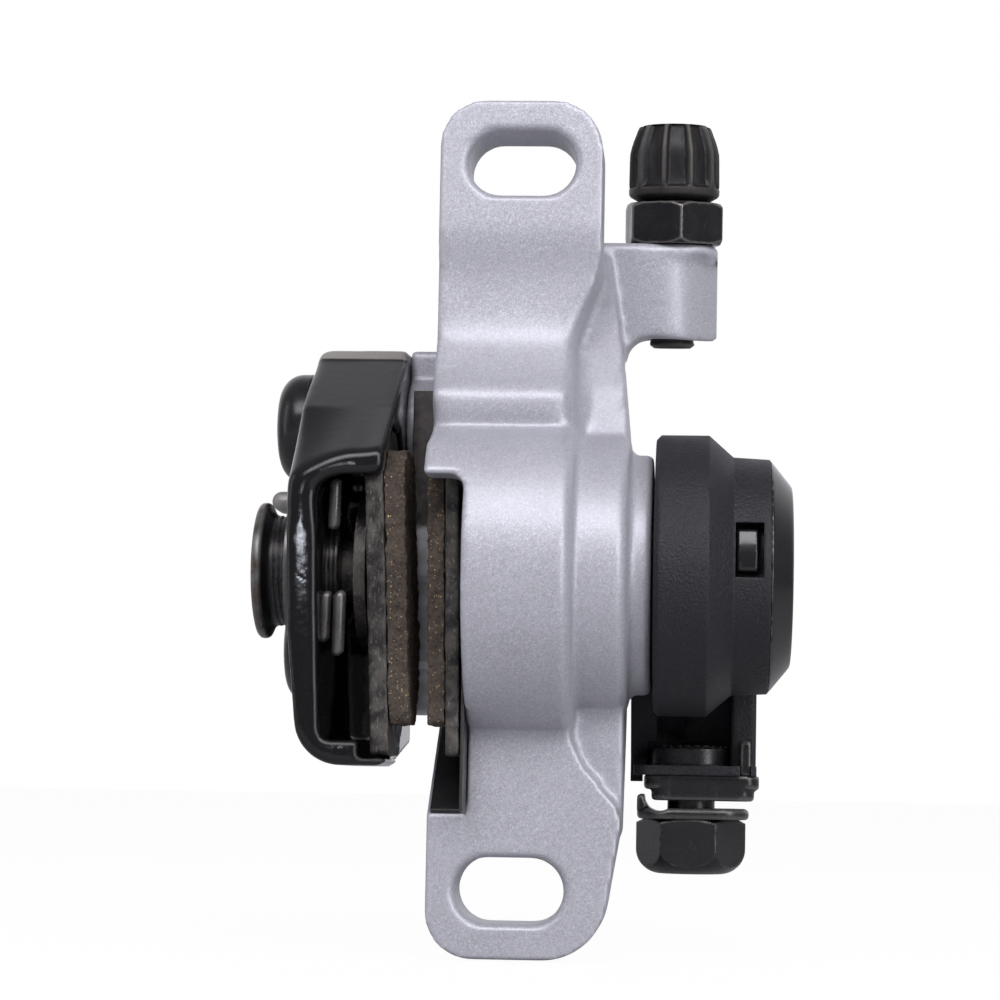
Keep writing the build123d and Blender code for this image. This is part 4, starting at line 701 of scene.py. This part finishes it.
def remould(node, name):
    """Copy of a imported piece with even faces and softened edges."""
    voxel, rounds = MOULDS[node]
    piece = copy_node(node, name)
    apply_modifier(piece, "REMESH", mode="VOXEL", voxel_size=voxel * MM)
    if rounds:
        apply_modifier(piece, "SMOOTH", factor=SMOOTHING, iterations=rounds)
    return piece


def mark_area(piece, name):
    """Vertex group of the points in an area, each with its share."""
    sides = AREAS[name][1]
    group = piece.vertex_groups.new(name=name)
    for vertex in piece.data.vertices:
        share = inside(vertex.co, sides)
        if share > 0:
            group.add([vertex.index], share, "REPLACE")


def smooth_area(piece, name):
    """Smooths a marked area."""
    apply_modifier(piece, "SMOOTH", factor=SMOOTHING, iterations=AREAS[name][0], vertex_group=name)


def draw_in(co, reach, wanted):
    """Moves a point nearer to the Z axis."""
    co.x *= wanted / reach
    co.y *= wanted / reach


def finish_piece(piece, body, node, sharp=None, stands=True):
    """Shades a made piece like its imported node, which it stands for or joins."""
    take_only(piece)
    if sharp is None:
        bpy.ops.object.shade_smooth()
    else:
        bpy.ops.object.shade_smooth_by_angle(angle=math.radians(sharp))
    note_wear_and_highlight(piece)
    dress(piece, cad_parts[node].data.materials[0])
    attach(piece, body)
    if stands:
        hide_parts(node)


class OBJECT_OT_caliper_casting(bpy.types.Operator):
    """Softens the cast housing's edges and runs its front relief together"""
    bl_idname = "caliper.casting"
    bl_label = "Cast housing"

    def execute(self, context):
        piece = remould("caliper_body", "casting")
        mark_area(piece, "relief")
        sink_band(piece)
        smooth_area(piece, "relief")
        mark_area(piece, "edge")
        smooth_area(piece, "edge")
        round_lug(piece)
        mark_area(piece, "lug")
        smooth_area(piece, "lug")
        finish_piece(piece, "caliper", "caliper_body")
        return {"FINISHED"}


# height of the front relief and how far its skin moves back there, in millimetres
BAND = (
    (7.4, 0.0), (7.8, 0.05), (8.2, 0.4), (8.5, 1.25), (8.9, 2.1), (9.3, 1.85), (10.0, 0.45), (10.9, -1.8),
    (11.0, -1.9), (12.2, -2.1), (12.8, -2.1), (13.2, -1.85), (14.0, -1.2), (15.0, -0.8), (16.5, -0.55),
    (19.0, -0.15), (21.0, 0.0),
)
BAND_SIDES = ((Y, 5.0, 2.0), (X, 8.0, 6.0))


def sink_band(piece):
    """Draws the ridge over the drum forward and the hollow below it back."""
    for vertex in piece.data.vertices:
        co = vertex.co
        share = inside(co, BAND_SIDES)
        for (z0, d0), (z1, d1) in zip(BAND, BAND[1:]):
            if share > 0 and z0 * MM <= co.z < z1 * MM:
                co.y += (d0 + (d1 - d0) * ramp(co.z, z0 * MM, z1 * MM)) * MM * share
                break


# the stop lug's face, where it starts to curve, and how round and how deep it curves, in millimetres
LUG_FACE_LEFT = 15
LUG_FACE_Z = (20, 29)
LUG_Z = (17, 31)
LUG_CURVE_START = 14.2
LUG_CURVE_RADIUS = 6.0
LUG_CURVE_DEPTH = 7


def round_lug(piece):
    """Curves the stop lug's front away toward its right side."""
    face = [
        vertex.co.y for vertex in piece.data.vertices
        if vertex.co.x > LUG_FACE_LEFT * MM and LUG_FACE_Z[0] * MM < vertex.co.z < LUG_FACE_Z[1] * MM]
    front = min(face)
    for vertex in piece.data.vertices:
        co = vertex.co
        if co.x > LUG_CURVE_START * MM and LUG_Z[0] * MM < co.z < LUG_Z[1] * MM:
            away = (co.x - LUG_CURVE_START * MM) ** 2 / (2 * LUG_CURVE_RADIUS * MM)
            co.y += away * ramp(co.y, front + LUG_CURVE_DEPTH * MM, front)


class OBJECT_OT_caliper_bracket(bpy.types.Operator):
    """Rounds the pad bracket as thick enamel does"""
    bl_idname = "caliper.bracket"
    bl_label = "Pad bracket"

    def execute(self, context):
        piece = remould("pad_bracket", "bracket_shell")
        mark_area(piece, "block")
        smooth_area(piece, "block")
        bend_shelf(piece)
        for area in ("shoulder", "crown"):
            mark_area(piece, area)
            smooth_area(piece, area)
        finish_piece(piece, "caliper", "pad_bracket")
        return {"FINISHED"}


# the edge under the bracket's block: its height, its reach and its bend, in millimetres
SHELF_Z = 6
SHELF_NEAR = (6, 0.6)
SHELF_SIDES = ((Y, 4, -3),)
SHELF_LEFT = -21.9
SHELF_MIDDLE = -15.5
SHELF_RIGHT = -10.5
SHELF_DROP = 2.6
SHELF_RISE = 0.9


def bend_shelf(piece):
    """Lets the edge under the block fall to the left and rise to the right."""
    for vertex in piece.data.vertices:
        co = vertex.co
        height = ramp(abs(co.z - SHELF_Z * MM), SHELF_NEAR[0] * MM, SHELF_NEAR[1] * MM)
        left = ramp(co.x, SHELF_MIDDLE * MM, SHELF_LEFT * MM)
        right = ramp(co.x, SHELF_MIDDLE * MM, SHELF_RIGHT * MM)
        move = SHELF_RISE * right ** 2 - SHELF_DROP * left ** 1.5
        co.z += move * MM * min(height, inside(co, SHELF_SIDES))


# texture, its grain in millimetres and its depth, middle level, strength in millimetres, slot
PAD_SURFACES = {
    "lining": ("crumble", 0.9, 3, 0.62, 0.55, "lining"),
    "plate": ("shear", 1.6, 2, 0.6, 0.2, "pad_steel"),
}


class OBJECT_OT_caliper_pads(bpy.types.Operator):
    """Gives the pads torn linings and sheared plates"""
    bl_idname = "caliper.pads"
    bl_label = "Pads"

    def execute(self, context):
        for texture, grain, depth, *_ in PAD_SURFACES.values():
            clouds = bpy.data.textures.new(texture, "CLOUDS")
            clouds.noise_scale = grain * MM
            clouds.noise_depth = depth
        for side in ("fixed", "moving"):
            for kind, (texture, grain, depth, middle, strength, slot) in PAD_SURFACES.items():
                node = f"{side}_pad_{kind}"
                piece = remould(node, f"{side}_{kind}")
                apply_modifier(
                    piece, "DISPLACE", texture=bpy.data.textures[texture], texture_coords="GLOBAL",
                    mid_level=middle, strength=strength * MM)
                finish_piece(piece, f"{side}_pad", node)
        return {"FINISHED"}


class OBJECT_OT_caliper_clamp(bpy.types.Operator):
    """Rounds the cable clamp's pressed plates"""
    bl_idname = "caliper.clamp"
    bl_label = "Cable clamp"

    def execute(self, context):
        for node, name, body in (
                ("clamp_platform", "clamp_fold", "arm"), ("clamp_plate", "clamp_jaw", "cable_plate")):
            finish_piece(remould(node, name), body, node)
        return {"FINISHED"}


class OBJECT_OT_caliper_cap(bpy.types.Operator):
    """Rounds the moulded cap and its tab in the hub's window"""
    bl_idname = "caliper.cap"
    bl_label = "Arm cap"

    def execute(self, context):
        finish_piece(remould("arm_cap", "moulded_cap"), "arm", "arm_cap")
        return {"FINISHED"}


# tilt of the cable stop in degrees, and a point on its axis in millimetres
BARREL_TILT = 8.5
BARREL_FOOT = (15.95, 21.5, 33.1)

# reach of the nut's ends and how fast its corners come out from there
NUT_END_REACH = 5.15
NUT_CORNER_SLOPE = 1.25
NUT_ROUNDS = 2


def barrel_axis():
    """Turn and foot point of the tilted cable stop."""
    return Matrix.Rotation(math.radians(BARREL_TILT), 4, "X"), Vector(BARREL_FOOT) * MM


class OBJECT_OT_caliper_jam_nut(bpy.types.Operator):
    """Turns the jam nut's corners down at both ends"""
    bl_idname = "caliper.jam_nut"
    bl_label = "Jam nut"

    def execute(self, context):
        piece = remould("jam_nut", "lock_hexagon")
        turn, foot = barrel_axis()
        level = turn.inverted() @ Matrix.Translation(-foot)
        piece.data.transform(level)
        heights = [vertex.co.z for vertex in piece.data.vertices]
        low, high = min(heights), max(heights)
        for vertex in piece.data.vertices:
            co = vertex.co
            reach = math.hypot(co.x, co.y)
            limit = NUT_END_REACH * MM + max(0.0, min(co.z - low, high - co.z)) * NUT_CORNER_SLOPE
            if reach > limit:
                draw_in(co, reach, limit)
        piece.data.transform(level.inverted())
        apply_modifier(piece, "SMOOTH", factor=SMOOTHING, iterations=NUT_ROUNDS)
        finish_piece(piece, "lock_nut", "jam_nut", sharp=30)
        return {"FINISHED"}


# the leaf's line from top to foot as depth and height, and its sides, in millimetres
LEAF_LINE = (
    (12.3, 15.3), (12.35, 0.6), (11.25, -4.6), (12.3, -5.3), (11.9, -13.6), (12.35, -14.3),
    (12.3, -15.1), (11.6, -18.6), (11.75, -19.3),
)
LEAF_LEFT = -11.35
LEAF_RIGHT = -8.1
LEAF_CORNER = 0.9
LEAF_THICKNESS = 0.4
LEAF_BEVEL = 0.12
LEAF_COLUMNS = 3


class OBJECT_OT_caliper_spring(bpy.types.Operator):
    """Bends the leaf spring that spreads the pads"""
    bl_idname = "caliper.spring"
    bl_label = "Pad spring"

    def execute(self, context):
        bpy.ops.object.select_all(action="DESELECT")
        last = len(LEAF_LINE) - 1
        bpy.ops.mesh.primitive_grid_add(
            x_subdivisions=LEAF_COLUMNS, y_subdivisions=last, size=1, location=(0, 0, 0))
        piece = context.object
        piece.name = "spring_leaf"
        for vertex in piece.data.vertices:
            share = vertex.co.x + 0.5
            row = round((0.5 - vertex.co.y) * last)
            y, z = LEAF_LINE[row]
            x = LEAF_LEFT + (LEAF_RIGHT - LEAF_LEFT) * share
            if row == last:
                x = min(max(x, LEAF_LEFT + LEAF_CORNER), LEAF_RIGHT - LEAF_CORNER)
            vertex.co = (x * MM, y * MM, z * MM)
        apply_modifier(piece, "SOLIDIFY", thickness=LEAF_THICKNESS * MM, offset=-1)
        apply_modifier(piece, "BEVEL", width=LEAF_BEVEL * MM, segments=2, limit_method="ANGLE")
        finish_piece(piece, "caliper", "pad_spring", sharp=40)
        return {"FINISHED"}


# rings along one turn of a thread, how far its cut overruns its rings and how near its points lie
RINGS_A_TURN = 6
THREAD_OVERRUN = 0.05
THREAD_SKIN = 0.02


def turn_piece(name, rings, sides):
    """Extrudes a circle through (height, radius) rings in millimetres about Z."""
    bpy.ops.object.select_all(action="DESELECT")
    bpy.ops.mesh.primitive_circle_add(
        vertices=sides, radius=rings[0][1] * MM, fill_type="NGON", location=(0, 0, rings[0][0] * MM))
    piece = bpy.context.object
    piece.name = name
    bpy.ops.object.mode_set(mode="EDIT")
    bpy.ops.mesh.select_all(action="SELECT")
    for (z0, r0), (z1, r1) in zip(rings, rings[1:]):
        bpy.ops.mesh.extrude_region_move(TRANSFORM_OT_translate={"value": (0, 0, (z1 - z0) * MM)})
        bpy.ops.transform.resize(value=(r1 / r0, r1 / r0, 1), center_override=(0, 0, z1 * MM))
    bpy.ops.mesh.select_all(action="SELECT")
    bpy.ops.mesh.normals_make_consistent(inside=False)
    bpy.ops.object.mode_set(mode="OBJECT")
    bpy.ops.object.transform_apply(location=True, rotation=True, scale=True)
    return piece


def thread_rows(span, radius, pitch):
    """Rings close enough for a thread's ridges."""
    low, high = span
    count = round((high - low) / pitch * RINGS_A_TURN)
    return [(low + (high - low) * k / count, radius) for k in range(count + 1)]


def cut_thread(piece, span, radius, pitch, depth, starts=1):
    """Sinks the grooves of a thread into the rings about Z."""
    low = (span[0] - THREAD_OVERRUN) * MM
    high = (span[1] + THREAD_OVERRUN) * MM
    for vertex in piece.data.vertices:
        co = vertex.co
        reach = math.hypot(co.x, co.y)
        if not low < co.z < high or abs(reach - radius * MM) > THREAD_SKIN * MM:
            continue
        phase = (co.z / MM / pitch - starts * math.atan2(co.y, co.x) / math.tau) % 1.0
        groove = 1 - abs(2 * phase - 1)
        end = min(ramp(co.z, low, low + pitch * MM), ramp(co.z, high, high - pitch * MM))
        draw_in(co, reach, reach - depth * MM * groove * end)


# the knob as place along its axis and radius, its thread, its hexagon socket and its axis, in millimetres
KNOB_RINGS = (
    (-22.5, 0.6), (-22.48, 2.3), (-25.6, 2.35), (-25.8, 2.7), (-25.78, 5.6), (-25.9, 6.2),
    (-25.93, 6.5), (-25.86, 6.8), (-25.7, 6.95), (-25.45, 7.0), (-25.2, 6.98), (-24.98, 6.86),
    (-24.85, 6.6), (-24.7, 6.2), (-24.4, 5.85), (-24.2, 5.7),
)
KNOB_END_RINGS = ((-17.22, 5.5), (-17.2, 1.0))
KNOB_SIDES = 112
KNOB_THREAD = (-24.1, -17.45)
KNOB_THREAD_RADIUS = 5.72
KNOB_PITCH = 0.5
KNOB_GROOVE = 0.24
SOCKET_END = -22
SOCKET_REACH = 2.3
SOCKET_SKIN = 0.1
KNOB_Y = 5.0
KNOB_Z = -4.75


class OBJECT_OT_caliper_knob(bpy.types.Operator):
    """Turns the pad adjuster's flange and cuts its two-start thread"""
    bl_idname = "caliper.knob"
    bl_label = "Pad adjuster"

    def execute(self, context):
        rings = [*KNOB_RINGS, *thread_rows(KNOB_THREAD, KNOB_THREAD_RADIUS, KNOB_PITCH), *KNOB_END_RINGS]
        piece = turn_piece("knob_turned", rings, KNOB_SIDES)
        cut_thread(piece, KNOB_THREAD, KNOB_THREAD_RADIUS, KNOB_PITCH, KNOB_GROOVE, starts=2)
        press_socket(piece)
        piece.data.transform(
            Matrix(((0, 0, 1, 0), (1, 0, 0, KNOB_Y * MM), (0, 1, 0, KNOB_Z * MM), (0, 0, 0, 1))))
        finish_piece(piece, "adjuster", "pad_adjuster", sharp=45)
        return {"FINISHED"}


def press_socket(piece):
    """Makes the knob's round bore a hexagon."""
    for vertex in piece.data.vertices:
        co = vertex.co
        reach = math.hypot(co.x, co.y)
        if abs(reach - SOCKET_REACH * MM) < SOCKET_SKIN * MM and co.z < SOCKET_END * MM:
            turn = (math.atan2(co.y, co.x) % (math.pi / 3)) - math.pi / 6
            draw_in(co, reach, SOCKET_REACH * MM / math.cos(turn))


# middle of each finger and half its length, and the fingers' form, in millimetres and shares
FINGERS = ((-18.1, -2.4, -9.9, 2.6), (-16.6, -3.3, -10.6, 3.3), (-17.4, -2.4, 1.4, 2.6))
FINGER_RADIUS = 0.75
FINGER_WAIST = 0.02
FINGER_WIDTH_SHARE = 0.85
FINGER_LEAN_SHARE = 0.25
FINGER_STEP = 20


class OBJECT_OT_caliper_fingers(bpy.types.Operator):
    """Bends the finger ends of the adjuster's click spring"""
    bl_idname = "caliper.fingers"
    bl_label = "Click fingers"

    def execute(self, context):
        bpy.ops.object.select_all(action="DESELECT")
        bpy.ops.mesh.primitive_uv_sphere_add(
            segments=28, ring_count=16, radius=FINGER_RADIUS * MM, location=(0, 0, 0))
        piece = context.object
        piece.name = "click_fingers"
        bpy.ops.object.mode_set(mode="EDIT")
        bpy.ops.mesh.select_all(action="SELECT")
        for _ in FINGERS[1:]:
            bpy.ops.mesh.duplicate_move(TRANSFORM_OT_translate={"value": (0, 0, FINGER_STEP * MM)})
        bpy.ops.object.mode_set(mode="OBJECT")
        for vertex in piece.data.vertices:
            co = vertex.co
            which = round(co.z / (FINGER_STEP * MM))
            x, y, z, half = FINGERS[which]
            local = co.z - which * FINGER_STEP * MM
            stretch = 0.0
            if abs(local) > FINGER_WAIST * MM:
                stretch = math.copysign((half - FINGER_RADIUS) * MM, local)
            co.x = co.x * FINGER_WIDTH_SHARE + x * MM + FINGER_LEAN_SHARE * local
            co.y = co.y + y * MM
            co.z = local + stretch + z * MM
        finish_piece(piece, "caliper", "bracket_bolts", sharp=60, stands=False)
        return {"FINISHED"}


# the barrel as height and radius, its thread and its flutes, in millimetres
BARREL_FOOT_RINGS = ((21.85, 2.0), (22.2, 2.46))
BARREL_RINGS = (
    (37.82, 3.9), (38.3, 4.75), (38.55, 4.95), (39.1, 4.97), (39.25, 4.9), (39.5, 4.95),
    (40.2, 4.95), (41.2, 4.93), (42.2, 4.92), (43.0, 4.88), (43.7, 4.72), (44.4, 4.5),
    (45.0, 4.26), (45.5, 4.08), (45.82, 3.93), (45.95, 3.78), (46.0, 3.5), (46.0, 2.62),
    (39.6, 2.6), (39.5, 0.75),
)
BARREL_SIDES = 160
BARREL_THREAD = (22.3, 37.7)
BARREL_THREAD_RADIUS = 2.46
BARREL_PITCH = 1.0
BARREL_GROOVE = 0.42
FLUTES = 10
FLUTE_DEPTH = 0.62
FLUTED_REACH = 3.7
FLUTED_FROM = 38.6
FLUTE_RUN = (39.15, 39.6)
FLUTE_BANK_SHARES = (0.42, 0.34)
FLUTE_TURN_SHARE = 0.125


class OBJECT_OT_caliper_barrel(bpy.types.Operator):
    """Turns the barrel adjuster and presses its flutes"""
    bl_idname = "caliper.barrel"
    bl_label = "Barrel adjuster"

    def execute(self, context):
        turn, foot = barrel_axis()
        thread = thread_rows(BARREL_THREAD, BARREL_THREAD_RADIUS, BARREL_PITCH)
        piece = turn_piece("barrel_knurl", [*BARREL_FOOT_RINGS, *thread, *BARREL_RINGS], BARREL_SIDES)
        cut_thread(piece, BARREL_THREAD, BARREL_THREAD_RADIUS, BARREL_PITCH, BARREL_GROOVE)
        press_flutes(piece)
        stand = Matrix.Translation((0, 0, -BARREL_FOOT[2] * MM))
        piece.data.transform(Matrix.Translation(foot) @ turn @ stand)
        finish_piece(piece, "barrel", "barrel_adjuster", sharp=38)
        return {"FINISHED"}


def press_flutes(piece):
    """Presses hollows with upright banks down the barrel, run out at its foot."""
    for vertex in piece.data.vertices:
        co = vertex.co
        reach = math.hypot(co.x, co.y)
        if reach < FLUTED_REACH * MM or co.z < FLUTED_FROM * MM:
            continue
        turn = (math.atan2(co.y, co.x) / math.tau * FLUTES - FLUTE_TURN_SHARE) % 1.0
        hollow = ramp(abs(turn - 0.5), *FLUTE_BANK_SHARES)
        run = ramp(co.z, FLUTE_RUN[0] * MM, FLUTE_RUN[1] * MM)
        draw_in(co, reach, reach - FLUTE_DEPTH * MM * hollow * run)


# Stage

# floor and lamps in metres, the strip's power in watts, the right lamp as so many times the left one
FLOOR_SIZE = 6.0
FLOOR_GAP = 0.0002
MIDDLE = (0, 0, 0)
BRACKET_WEB = (-0.0198, -0.006, -0.0012)
RIGHT_LAMP_TIMES = 4.4
STRIP_POWER = 0.028

# strength of the room's light from below and above, what its far wall adds, and the colours
ROOM_FLOOR_TO_CEILING = (0.55, 1.0)
ROOM_BEHIND = 1.7
ROOM_COLOUR = (0.95, 0.95, 1.0)
BACKDROP_COLOUR = (1, 1, 1)
FLOOR_COLOUR = (0.5, 0.5, 0.51)
FLOOR_SEEN_COLOUR = (0.98, 0.98, 0.98)
FLOOR_GLOW_SHARE = 0.96

# place, target, size and colour of each lamp
LAMPS = {
    "top_lamp": ((0.02, -0.52, 0.44), MIDDLE, (0.66, 0.26), (0.98, 0.97, 1)),
    "right_lamp": ((0.44, -0.4, 0.08), MIDDLE, (0.16, 0.6), (0.97, 0.98, 1)),
    "strip_lamp": ((-0.1125, -0.599, 0.0588), BRACKET_WEB, (0.0085, 0.024), (0.86, 0.9, 1)),
    "left_lamp": ((-0.5, -0.12, 0.06), MIDDLE, (0.1, 0.6), (0.95, 0.97, 1)),
}

# the photograph's camera: place in millimetres, turns in radians, shift in shares of the picture
CAMERA_PLACE = (18.77, -252.81, -26.135)
CAMERA_YAW = -0.04545
CAMERA_PITCH = 0.06551
CAMERA_ROLL = 0.01718
CAMERA_SHIFT_SHARES = (-0.0795, 0.118)
SENSOR_WIDTH = 36.0
CLIP_NEAR = 0.01
CLIP_FAR = 20.0


class OBJECT_OT_caliper_stage(bpy.types.Operator):
    """Makes the floor, the lamps, the room light and the camera"""
    bl_idname = "caliper.stage"
    bl_label = "Stage"

    def execute(self, context):
        stage = context.scene.caliper_stage
        make_floor()
        make_room(context.scene, stage.room)
        make_lamps(stage)
        make_camera(context.scene, stage.focal)
        context.scene.view_settings.view_transform = "Standard"
        return {"FINISHED"}


def seen_by_camera(net):
    """1 where the camera looks straight at a surface, 0 for the light that it throws."""
    path = net.node("ShaderNodeLightPath")
    return net.math("MAXIMUM", path.outputs["Is Camera Ray"], path.outputs["Is Transmission Ray"])


def make_floor():
    """Wide pale floor under the lower ear."""
    bpy.ops.object.select_all(action="DESELECT")
    bpy.ops.mesh.primitive_plane_add(size=FLOOR_SIZE, location=(0, 0, cad_low[2] - FLOOR_GAP))
    floor = bpy.context.object
    floor.name = "floor"
    material = bpy.data.materials.new("pale_floor")
    material.use_nodes = True
    net = Wiring(material.node_tree)
    shader = material.node_tree.nodes["Principled BSDF"]
    shader.inputs["Roughness"].default_value = 0.9
    seen = seen_by_camera(net)
    net.join(net.blend(seen, FLOOR_COLOUR, FLOOR_SEEN_COLOUR), shader.inputs["Base Color"])
    glow = net.node("ShaderNodeEmission")
    mix = net.node("ShaderNodeMixShader")
    net.put(net.math("MULTIPLY", seen, FLOOR_GLOW_SHARE), mix.inputs[0])
    net.join(shader.outputs[0], mix.inputs[1])
    net.join(glow.outputs[0], mix.inputs[2])
    net.join(mix.outputs[0], material.node_tree.nodes["Material Output"].inputs[0])
    dress(floor, material)


def make_room(scene, strength):
    """White backdrop for the camera, a graded pale room for the light."""
    world = bpy.data.worlds.new("studio")
    scene.world = world
    world.use_nodes = True
    net = Wiring(world.node_tree)
    back = world.node_tree.nodes["Background"]
    place = net.node("ShaderNodeTexCoord").outputs["Generated"]
    above = net.spread(net.along(place, "Z"), -0.5, 0.5, *ROOM_FLOOR_TO_CEILING)
    behind = net.spread(net.along(place, "Y"), 0.3, 0.7, 0.0, ROOM_BEHIND)
    room = net.math("MULTIPLY", net.math("ADD", above, behind), strength)
    seen = seen_by_camera(net)
    level = net.node("ShaderNodeMix", data_type="FLOAT")
    net.join(seen, level.inputs[0])
    net.join(room, level.inputs[2])
    level.inputs[3].default_value = 1.0
    net.join(level.outputs[0], back.inputs["Strength"])
    net.join(net.blend(seen, ROOM_COLOUR, BACKDROP_COLOUR), back.inputs["Color"])


def make_lamps(stage):
    """A large lamp above and in front, a tall one at each side, a strip for the bracket's web."""
    powers = {
        "top_lamp": stage.top_power,
        "right_lamp": RIGHT_LAMP_TIMES * stage.side_power,
        "strip_lamp": STRIP_POWER,
        "left_lamp": stage.side_power,
    }
    for name, (place, target, size, colour) in LAMPS.items():
        lamp = bpy.data.lights.new(name, "AREA")
        lamp.shape = "RECTANGLE"
        lamp.size, lamp.size_y = size
        lamp.energy = powers[name]
        lamp.color = colour
        holder = bpy.data.objects.new(name, lamp)
        bpy.context.scene.collection.objects.link(holder)
        holder.location = place
        holder.rotation_euler = (Vector(target) - Vector(place)).to_track_quat("-Z", "Y").to_euler()
        holder.visible_camera = False


def make_camera(scene, focal):
    """Camera of the photograph: a little low and to the right of the caliper."""
    data = bpy.data.cameras.new("camera")
    holder = bpy.data.objects.new("camera", data)
    scene.collection.objects.link(holder)
    data.sensor_width = SENSOR_WIDTH
    data.lens = focal
    data.shift_x, data.shift_y = CAMERA_SHIFT_SHARES
    data.clip_start = CLIP_NEAR
    data.clip_end = CLIP_FAR
    level = math.cos(CAMERA_PITCH)
    ahead = Vector((math.sin(CAMERA_YAW) * level, math.cos(CAMERA_YAW) * level, math.sin(CAMERA_PITCH)))
    right = Vector((math.cos(CAMERA_YAW), -math.sin(CAMERA_YAW), 0))
    across = right * math.cos(CAMERA_ROLL) + right.cross(ahead) * math.sin(CAMERA_ROLL)
    holder.location = Vector(CAMERA_PLACE) * MM
    holder.rotation_euler = Matrix((across, across.cross(ahead), -ahead)).transposed().to_euler()
    scene.camera = holder


# Panel and registering

class VIEW3D_PT_caliper(bpy.types.Panel):
    """Lists the caliper's pieces, finishes and stage"""
    bl_label = "Disc brake caliper"
    bl_idname = "VIEW3D_PT_caliper"
    bl_space_type = "VIEW_3D"
    bl_region_type = "UI"
    bl_category = "Caliper"

    def draw(self, context):
        for settings in (context.scene.caliper_finish, context.scene.caliper_stage):
            for name in settings.__annotations__:
                self.layout.prop(settings, name)
        for operator in OPERATORS:
            self.layout.operator(operator.bl_idname)


OPERATORS = (
    OBJECT_OT_caliper_finishes, OBJECT_OT_caliper_casting, OBJECT_OT_caliper_bracket,
    OBJECT_OT_caliper_pads, OBJECT_OT_caliper_spring, OBJECT_OT_caliper_clamp,
    OBJECT_OT_caliper_cap, OBJECT_OT_caliper_jam_nut, OBJECT_OT_caliper_knob,
    OBJECT_OT_caliper_fingers, OBJECT_OT_caliper_barrel, OBJECT_OT_caliper_stage,
)
CLASSES = (CaliperFinish, CaliperStage, *OPERATORS, VIEW3D_PT_caliper)


def register():
    for each in CLASSES:
        bpy.utils.register_class(each)
    bpy.types.Scene.caliper_finish = bpy.props.PointerProperty(type=CaliperFinish)
    bpy.types.Scene.caliper_stage = bpy.props.PointerProperty(type=CaliperStage)


def unregister():
    del bpy.types.Scene.caliper_stage
    del bpy.types.Scene.caliper_finish
    for each in reversed(CLASSES):
        bpy.utils.unregister_class(each)


def main():
    """Registers the add-on and makes everything in order."""
    register()
    bpy.ops.caliper.finishes()
    bpy.ops.caliper.casting()
    bpy.ops.caliper.bracket()
    bpy.ops.caliper.pads()
    bpy.ops.caliper.spring()
    bpy.ops.caliper.clamp()
    bpy.ops.caliper.cap()
    bpy.ops.caliper.jam_nut()
    bpy.ops.caliper.knob()
    bpy.ops.caliper.fingers()
    bpy.ops.caliper.barrel()
    bpy.ops.caliper.stage()


if __name__ == "__main__":
    main()
